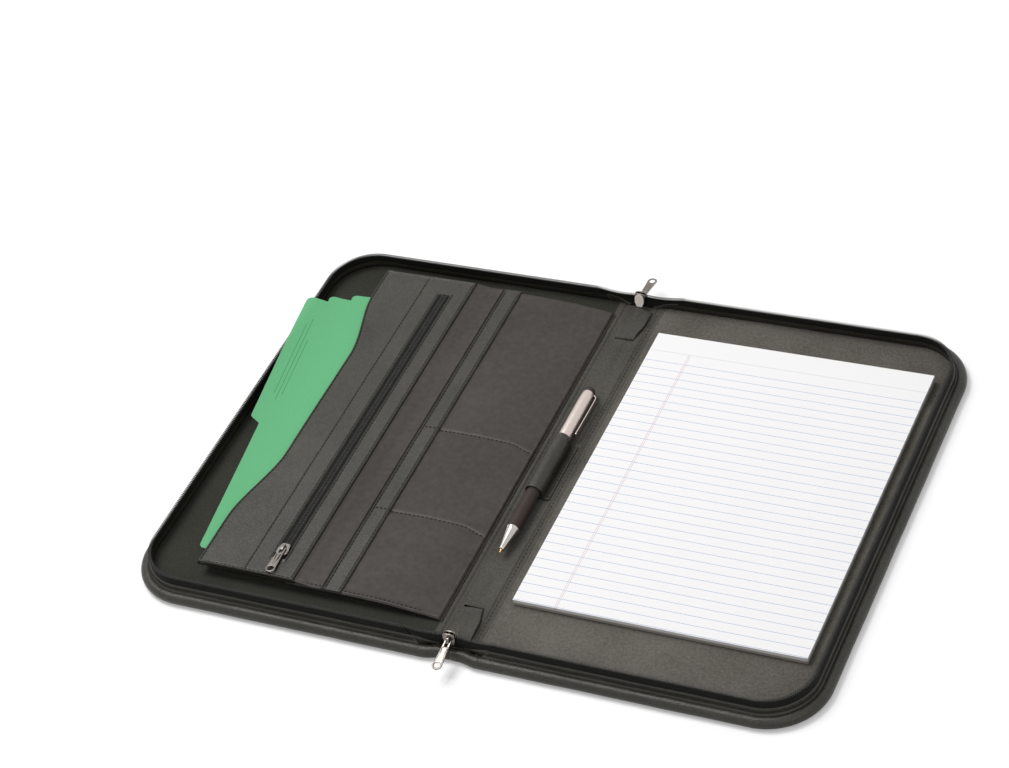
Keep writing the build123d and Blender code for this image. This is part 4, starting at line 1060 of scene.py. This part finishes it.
champagne = metal("champagne aluminium", "#cfc3bc", 0.34, 3.0)
chrome = metal("chrome", "#bab6b0", 0.12, 8.0)
brass = metal("brass", "#b78f62", 0.3, 2.0)
soft_grip = skin("soft grip rubber", "#291f1b", "#372a25", 0.7, 0.05, 0.6, 20, 0.3)
dome_rubber = skin("stylus rubber", "#1f1917", "#29211f", 0.5, 0.02, 0.5, 8, 0.35)
r = pen_radius
pen_pieces = [
    ("pen_cone_shell", chrome, "pen", "pen_cone", "nickel",
     [(1.55, -91.4), (1.9, -91.4), (2.1, -90), (2.5, -87), (3.2, -82), (4.1, -77), (4.8, -72.6),
      (4.9, -72.2), (r, -71.9), (r, -70.8), (4.9, -70.5)]),
    ("pen_grip_sleeve", soft_grip, "pen", "pen_grip", "soft_rubber",
     [(4.7, -70.5), (4.95, -70.3), (5.05, -69.4), (5.1, -40), (r, -20), (r, -5.4), (5.0, -4.7),
      (4.8, -4.6)]),
    ("pen_barrel_tube", champagne, "pen_barrel", "pen_barrel", "pen_silver",
     [(4.8, -4.2), (5.05, -4.1), (r, -3.6), (r, 62.0), (5.1, 66.0), (4.85, 69.5), (4.6, 71.3), (4.35, 72.0),
      (4.1, 72.2)]),
    ("pen_stylus_dome", dome_rubber, "pen_barrel", "pen_stylus", "soft_rubber",
     [(4.3, 72.1), (4.25, 73.5), (3.95, 75.0), (3.3, 76.3), (2.3, 77.1), (1.2, 77.45), (0.2, 77.5)]),
    ("pen_point", brass, "pen_refill", "pen_refill", "refill_metal",
     [(0.15, -94.5), (0.4, -94.3), (0.6, -93.9), (1.2, -91.4), (1.2, 15.5)]),
]
clip_path = np.array([(69.6, 4.8), (69.2, 6.4), (68.3, 7.4), (66.5, 8.0), (60, 8.0), (45, 7.8), (32, 7.6),
                      (29.5, 7.5), (28.2, 7.8)])
clip_wide, clip_thick = 3.4, 0.8
points, quads, ends = bar(clip_path, clip_wide, clip_thick)
clip = (np.stack([points[:, 2], points[:, 1], pen_z - points[:, 0]], 1), quads, ends)
for name, finish, body, cad, slot, profile in pen_pieces:
    extra = [clip] if cad == "pen_barrel" else []
    piece = shape(name, finish, lathe(profile), *extra)
    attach(piece, body)
    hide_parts(cad)


# Pen loop
# A leatherette sleeve with turned hems, sewn to the spine by a doubled flange on the pad's side.
loop_low, loop_high = mm_box("pen_loop")
loop_out, loop_in = loop_high[2] - pen_z - 0.05, loop_high[2] - pen_z - 1.15
loop_hem = 3.0
t, y = np.meshgrid(np.linspace(0, 1, 60), fine(loop_low[1], loop_high[1], 1.8, loop_low[1] + loop_hem,
                                                loop_high[1] - loop_hem, loop_low[1], loop_high[1]))
turn = -0.62 * np.pi + t * 1.86 * np.pi
edge = np.minimum(y - loop_low[1], loop_high[1] - y)
press = 0.22 * np.exp(-(((edge - loop_hem) / 0.45) ** 2)) + 0.35 * np.exp(-edge / 0.25)
outer_r = loop_out - press + 0.1 * waves(8 * turn, y, 18, 67)
outer = np.stack([outer_r * np.cos(turn), y, pen_z + outer_r * np.sin(turn)], 2)
inner = np.stack([loop_in * np.cos(turn), y, pen_z + loop_in * np.sin(turn)], 2)
sleeve = grid(np.concatenate([outer, inner[:, ::-1]], 1), wrap=True, caps=True)
flange_end = loop_high[0] + 0.1
flange = rounded([(1.5, loop_low[1]), (flange_end, loop_low[1]), (flange_end, loop_high[1]),
                  (1.5, loop_high[1])], 0.8, 4)
slim = rounded([(-8.2, loop_low[1] + 0.5), (-2.0, loop_low[1] + 0.5), (-2.0, loop_high[1] - 0.5),
                (-8.2, loop_high[1] - 0.5)], 0.8, 4)
loop = shape("pen_sleeve", leatherette, sleeve, slab(flange, lining_top + 0.4, lining_top + 1.7, 0.45),
             slab(slim, lining_top + 0.3, lining_top + 0.9, 0.25))
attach(loop, "spine")
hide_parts("pen_loop")


# Stitching
# Dark thread, about 3.4 mm a stitch, along hems, straps, zip windows and seams.
thread = skin("dark thread", "#12110f", "#1e1d19", 0.4, 0.03, 0.65, 9, 0.2)


def stitch_parts(line, pitch=3.4, length=2.3, thick=0.42):
    """Small spindles laid end to end along a polyline: radius thick * sqrt(1 - (2 t)^4) over each length."""
    line = np.array(line, float)
    s = np.concatenate([[0], np.cumsum(np.linalg.norm(np.diff(line, axis=0), axis=1))])
    at = np.arange(pitch / 2, s[-1], pitch)
    t = np.linspace(-0.5, 0.5, 5)
    spin = np.linspace(0, 2 * np.pi, 7)[:-1, None]
    where = np.clip(at[:, None] + t * length, 0, s[-1])
    centre = np.stack([np.interp(where, s, line[:, k]) for k in range(3)], -1)
    run = np.stack([np.interp(at + 0.5, s, line[:, k]) - np.interp(at - 0.5, s, line[:, k])
                    for k in range(3)], -1)
    run /= np.linalg.norm(run, axis=1, keepdims=True)
    flat = np.cross([0, 0, 1.0], run)
    flat /= np.linalg.norm(flat, axis=1, keepdims=True)
    rise = np.cross(run, flat)
    radius = thick * np.sqrt(np.clip(1 - (2 * t) ** 4, 0.02, 1))
    ring = flat[:, None, None] * np.cos(spin) + 0.8 * rise[:, None, None] * np.sin(spin)
    tube = centre[:, :, None] + radius[None, :, None, None] * ring
    return [grid(piece, wrap=True, caps=True) for piece in tube]


def lift(x, y, height):
    """A line of points at a height, from arrays or numbers."""
    return np.stack(np.broadcast_arrays(*[np.asarray(value, float) for value in (x, y, height)]), 1)


def sewn(name, body, lines):
    """One piece of thread on a body: all the stitches of some lines."""
    made = shape(name, thread, *[part for line in lines for part in stitch_parts(line)])
    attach(made, body)


long_y = np.linspace(zip_low[1] + hem_stitch, zip_high[1] - hem_stitch, 160)
lines = []
for x in (scoop(long_y) + hem_stitch, sewn_x, zip_high[0] - hem_stitch):
    lines.append(lift(x, long_y, panel_height(x, long_y) + 0.15))
for x in (strap_low[0] + strap_stitch, strap_high[0] - strap_stitch):
    lines.append(lift(x, long_y, strap_high[2] - 0.25))
slot_y = np.linspace(slot_low - slot_stitch, slot_high + slot_stitch, 140)
for x in (slot_left - slot_stitch, slot_right + slot_stitch):
    lines.append(lift(x, slot_y, panel_height(x, slot_y) + 0.15))
slot_x = np.linspace(slot_left - slot_stitch, slot_right + slot_stitch, 12)
for y in (slot_low - slot_stitch, slot_high + slot_stitch):
    lines.append(lift(slot_x, y, panel_height(slot_x, y) + 0.15))
foot_x = np.linspace(zip_low[0] + 4, zip_high[0] - 3, 50)
lines.append(lift(foot_x, zip_low[1] + hem_stitch, panel_height(foot_x, zip_low[1] + hem_stitch) + 0.15))
foot_x = np.linspace(lap_low[0] + 2, seam_x - 14, 60)
lines.append(lift(foot_x, face_low[1] + 2.5, np.maximum(face_height(foot_x, face_low[1] + 2.5),
                                                        lap_high[2] * (foot_x < lap_high[0])) + 0.15))
cross_x = np.linspace(divide_reach, seam_x - 3, 70)
on_strap = (cross_x > strap_low[0] + 0.5) & (cross_x < strap_high[0] - 0.5)
for at in divide_y:
    y = divide_at(cross_x, at)
    lines.append(lift(cross_x, y, np.where(on_strap, strap_high[2], face_height(cross_x, y)) + 0.1))
sewn("panel_thread", "front_cover", lines)

fold_y = np.linspace(-172, 172, 160)
fold_x_line = np.full(160, fold_stitch_x)
fold_line = lift(fold_stitch_x, fold_y, spine_lining_height(fold_x_line, fold_y) + 0.05)
fold_thread = shape("fold_thread", thread, *stitch_parts(fold_line, thick=0.34))
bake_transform(fold_thread)

sewn("loop_thread", "spine", [lift(flange_end - 1.7, np.linspace(loop_low[1] + 1, loop_high[1] - 1, 20),
                                   lining_top + 1.75)])

edge_seam_inset, edge_seam_start = 10.6, 8.0
window_seams, far_seam = (-193.5, -210.5), -218.0
for cover, side, seed in (("back", 1, back_seed), ("front", -1, front_seed)):
    path = edge_path(side, edge_seam_inset, edge_seam_start, 3.0)[0]
    lines = [np.column_stack([path, outside(path[:, 0], path[:, 1], seed) - 0.1])]
    if side < 0:
        tall = np.linspace(-180, 180, 160)
        for x, deep in ((-lap_at + 1.5, 1.0), *[(at, 0.1) for at in (*window_seams, far_seam)]):
            lines.append(lift(x, tall, outside(np.full(160, x), tall, seed) - deep))
    sewn(f"{cover}_thread", f"{cover}_cover", lines)


# Stage
# A white seamless floor that keeps the object's shadow, under soft light from the upper left.
def shown_directly(tree):
    """1 for rays from the camera, or that come by a mirror or through something clear."""
    path = node(tree, "ShaderNodeLightPath")
    seen = maths(tree, path.outputs["Is Camera Ray"], "MAXIMUM", path.outputs["Is Glossy Ray"])
    return maths(tree, seen, "MAXIMUM", path.outputs["Is Transmission Ray"])


floor_white, tree, shader = material("white floor", Roughness=0.9, Specular_IOR_Level=0.0)
seen = shown_directly(tree)
shade = node(tree, "ShaderNodeMix", data_type="RGBA")
shade.inputs[6].default_value = (0.15, 0.15, 0.15, 1)
shade.inputs[7].default_value = (0.85, 0.85, 0.85, 1)
tree.links.new(seen, shade.inputs[0])
tree.links.new(shade.outputs[2], shader.inputs["Base Color"])
shader.inputs["Emission Color"].default_value = (1, 1, 1, 1)
tree.links.new(maths(tree, seen, "MULTIPLY", 0.2), shader.inputs["Emission Strength"])
wide, floor_z = 9000.0, -0.4
floor_corners = np.array([[(x, y, floor_z) for x in (-wide, wide)] for y in (-wide, wide)])
floor = shape("floor", floor_white, grid(floor_corners, facing=upward))
floor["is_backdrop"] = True

world = bpy.data.worlds.new("soft studio")
bpy.context.scene.world = world
world.use_nodes = True
tree = world.node_tree
ray = node(tree, "ShaderNodeTexCoord").outputs["Generated"]
way = node(tree, "ShaderNodeSeparateXYZ", {0: ray}).outputs["Z"]
dome = node(tree, "ShaderNodeMapRange", {"Value": way, "From Min": 0.0, "From Max": 0.8, "To Min": 0.05,
                                         "To Max": 0.6}).outputs["Result"]
sky = node(tree, "ShaderNodeMapRange", {"Value": shown_directly(tree), "To Min": dome, "To Max": 1.0})
tree.nodes["Background"].inputs["Color"].default_value = (1, 1, 1, 1)
tree.links.new(sky.outputs["Result"], tree.nodes["Background"].inputs["Strength"])

for name, spot, size, power in (("key", (-0.85, 0.2, 2.0), 1.0, 28), ("fill", (1.3, -1.4, 1.6), 1.6, 7)):
    light = bpy.data.lights.new(name, "AREA")
    light.size = size
    light.energy = power
    lamp = bpy.data.objects.new(name, light)
    bpy.context.scene.collection.objects.link(lamp)
    back = np.array(spot) / np.linalg.norm(spot)
    right = np.cross([0, 0, 1.0], back)
    right /= np.linalg.norm(right)
    turned = np.column_stack([right, np.cross(back, right), back])
    lamp.matrix_world = Matrix.Translation(spot) @ Matrix(turned.tolist()).to_4x4()

camera = bpy.data.cameras.new("camera")
camera.sensor_width = 36.0
camera.lens = 99.347
camera.clip_start, camera.clip_end = 0.1, 50.0
eye = bpy.data.objects.new("camera", camera)
bpy.context.scene.collection.objects.link(eye)
turned = Matrix(((0.90068, -0.15098, 0.40741), (0.39622, 0.67017, -0.6276), (-0.17828, 0.72669, 0.66343)))
eye.matrix_world = Matrix.Translation((0.78407, -1.24408, 1.40042)) @ turned.to_4x4()
bpy.context.scene.camera = eye
bpy.context.scene.view_settings.view_transform = "Standard"

low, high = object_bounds()
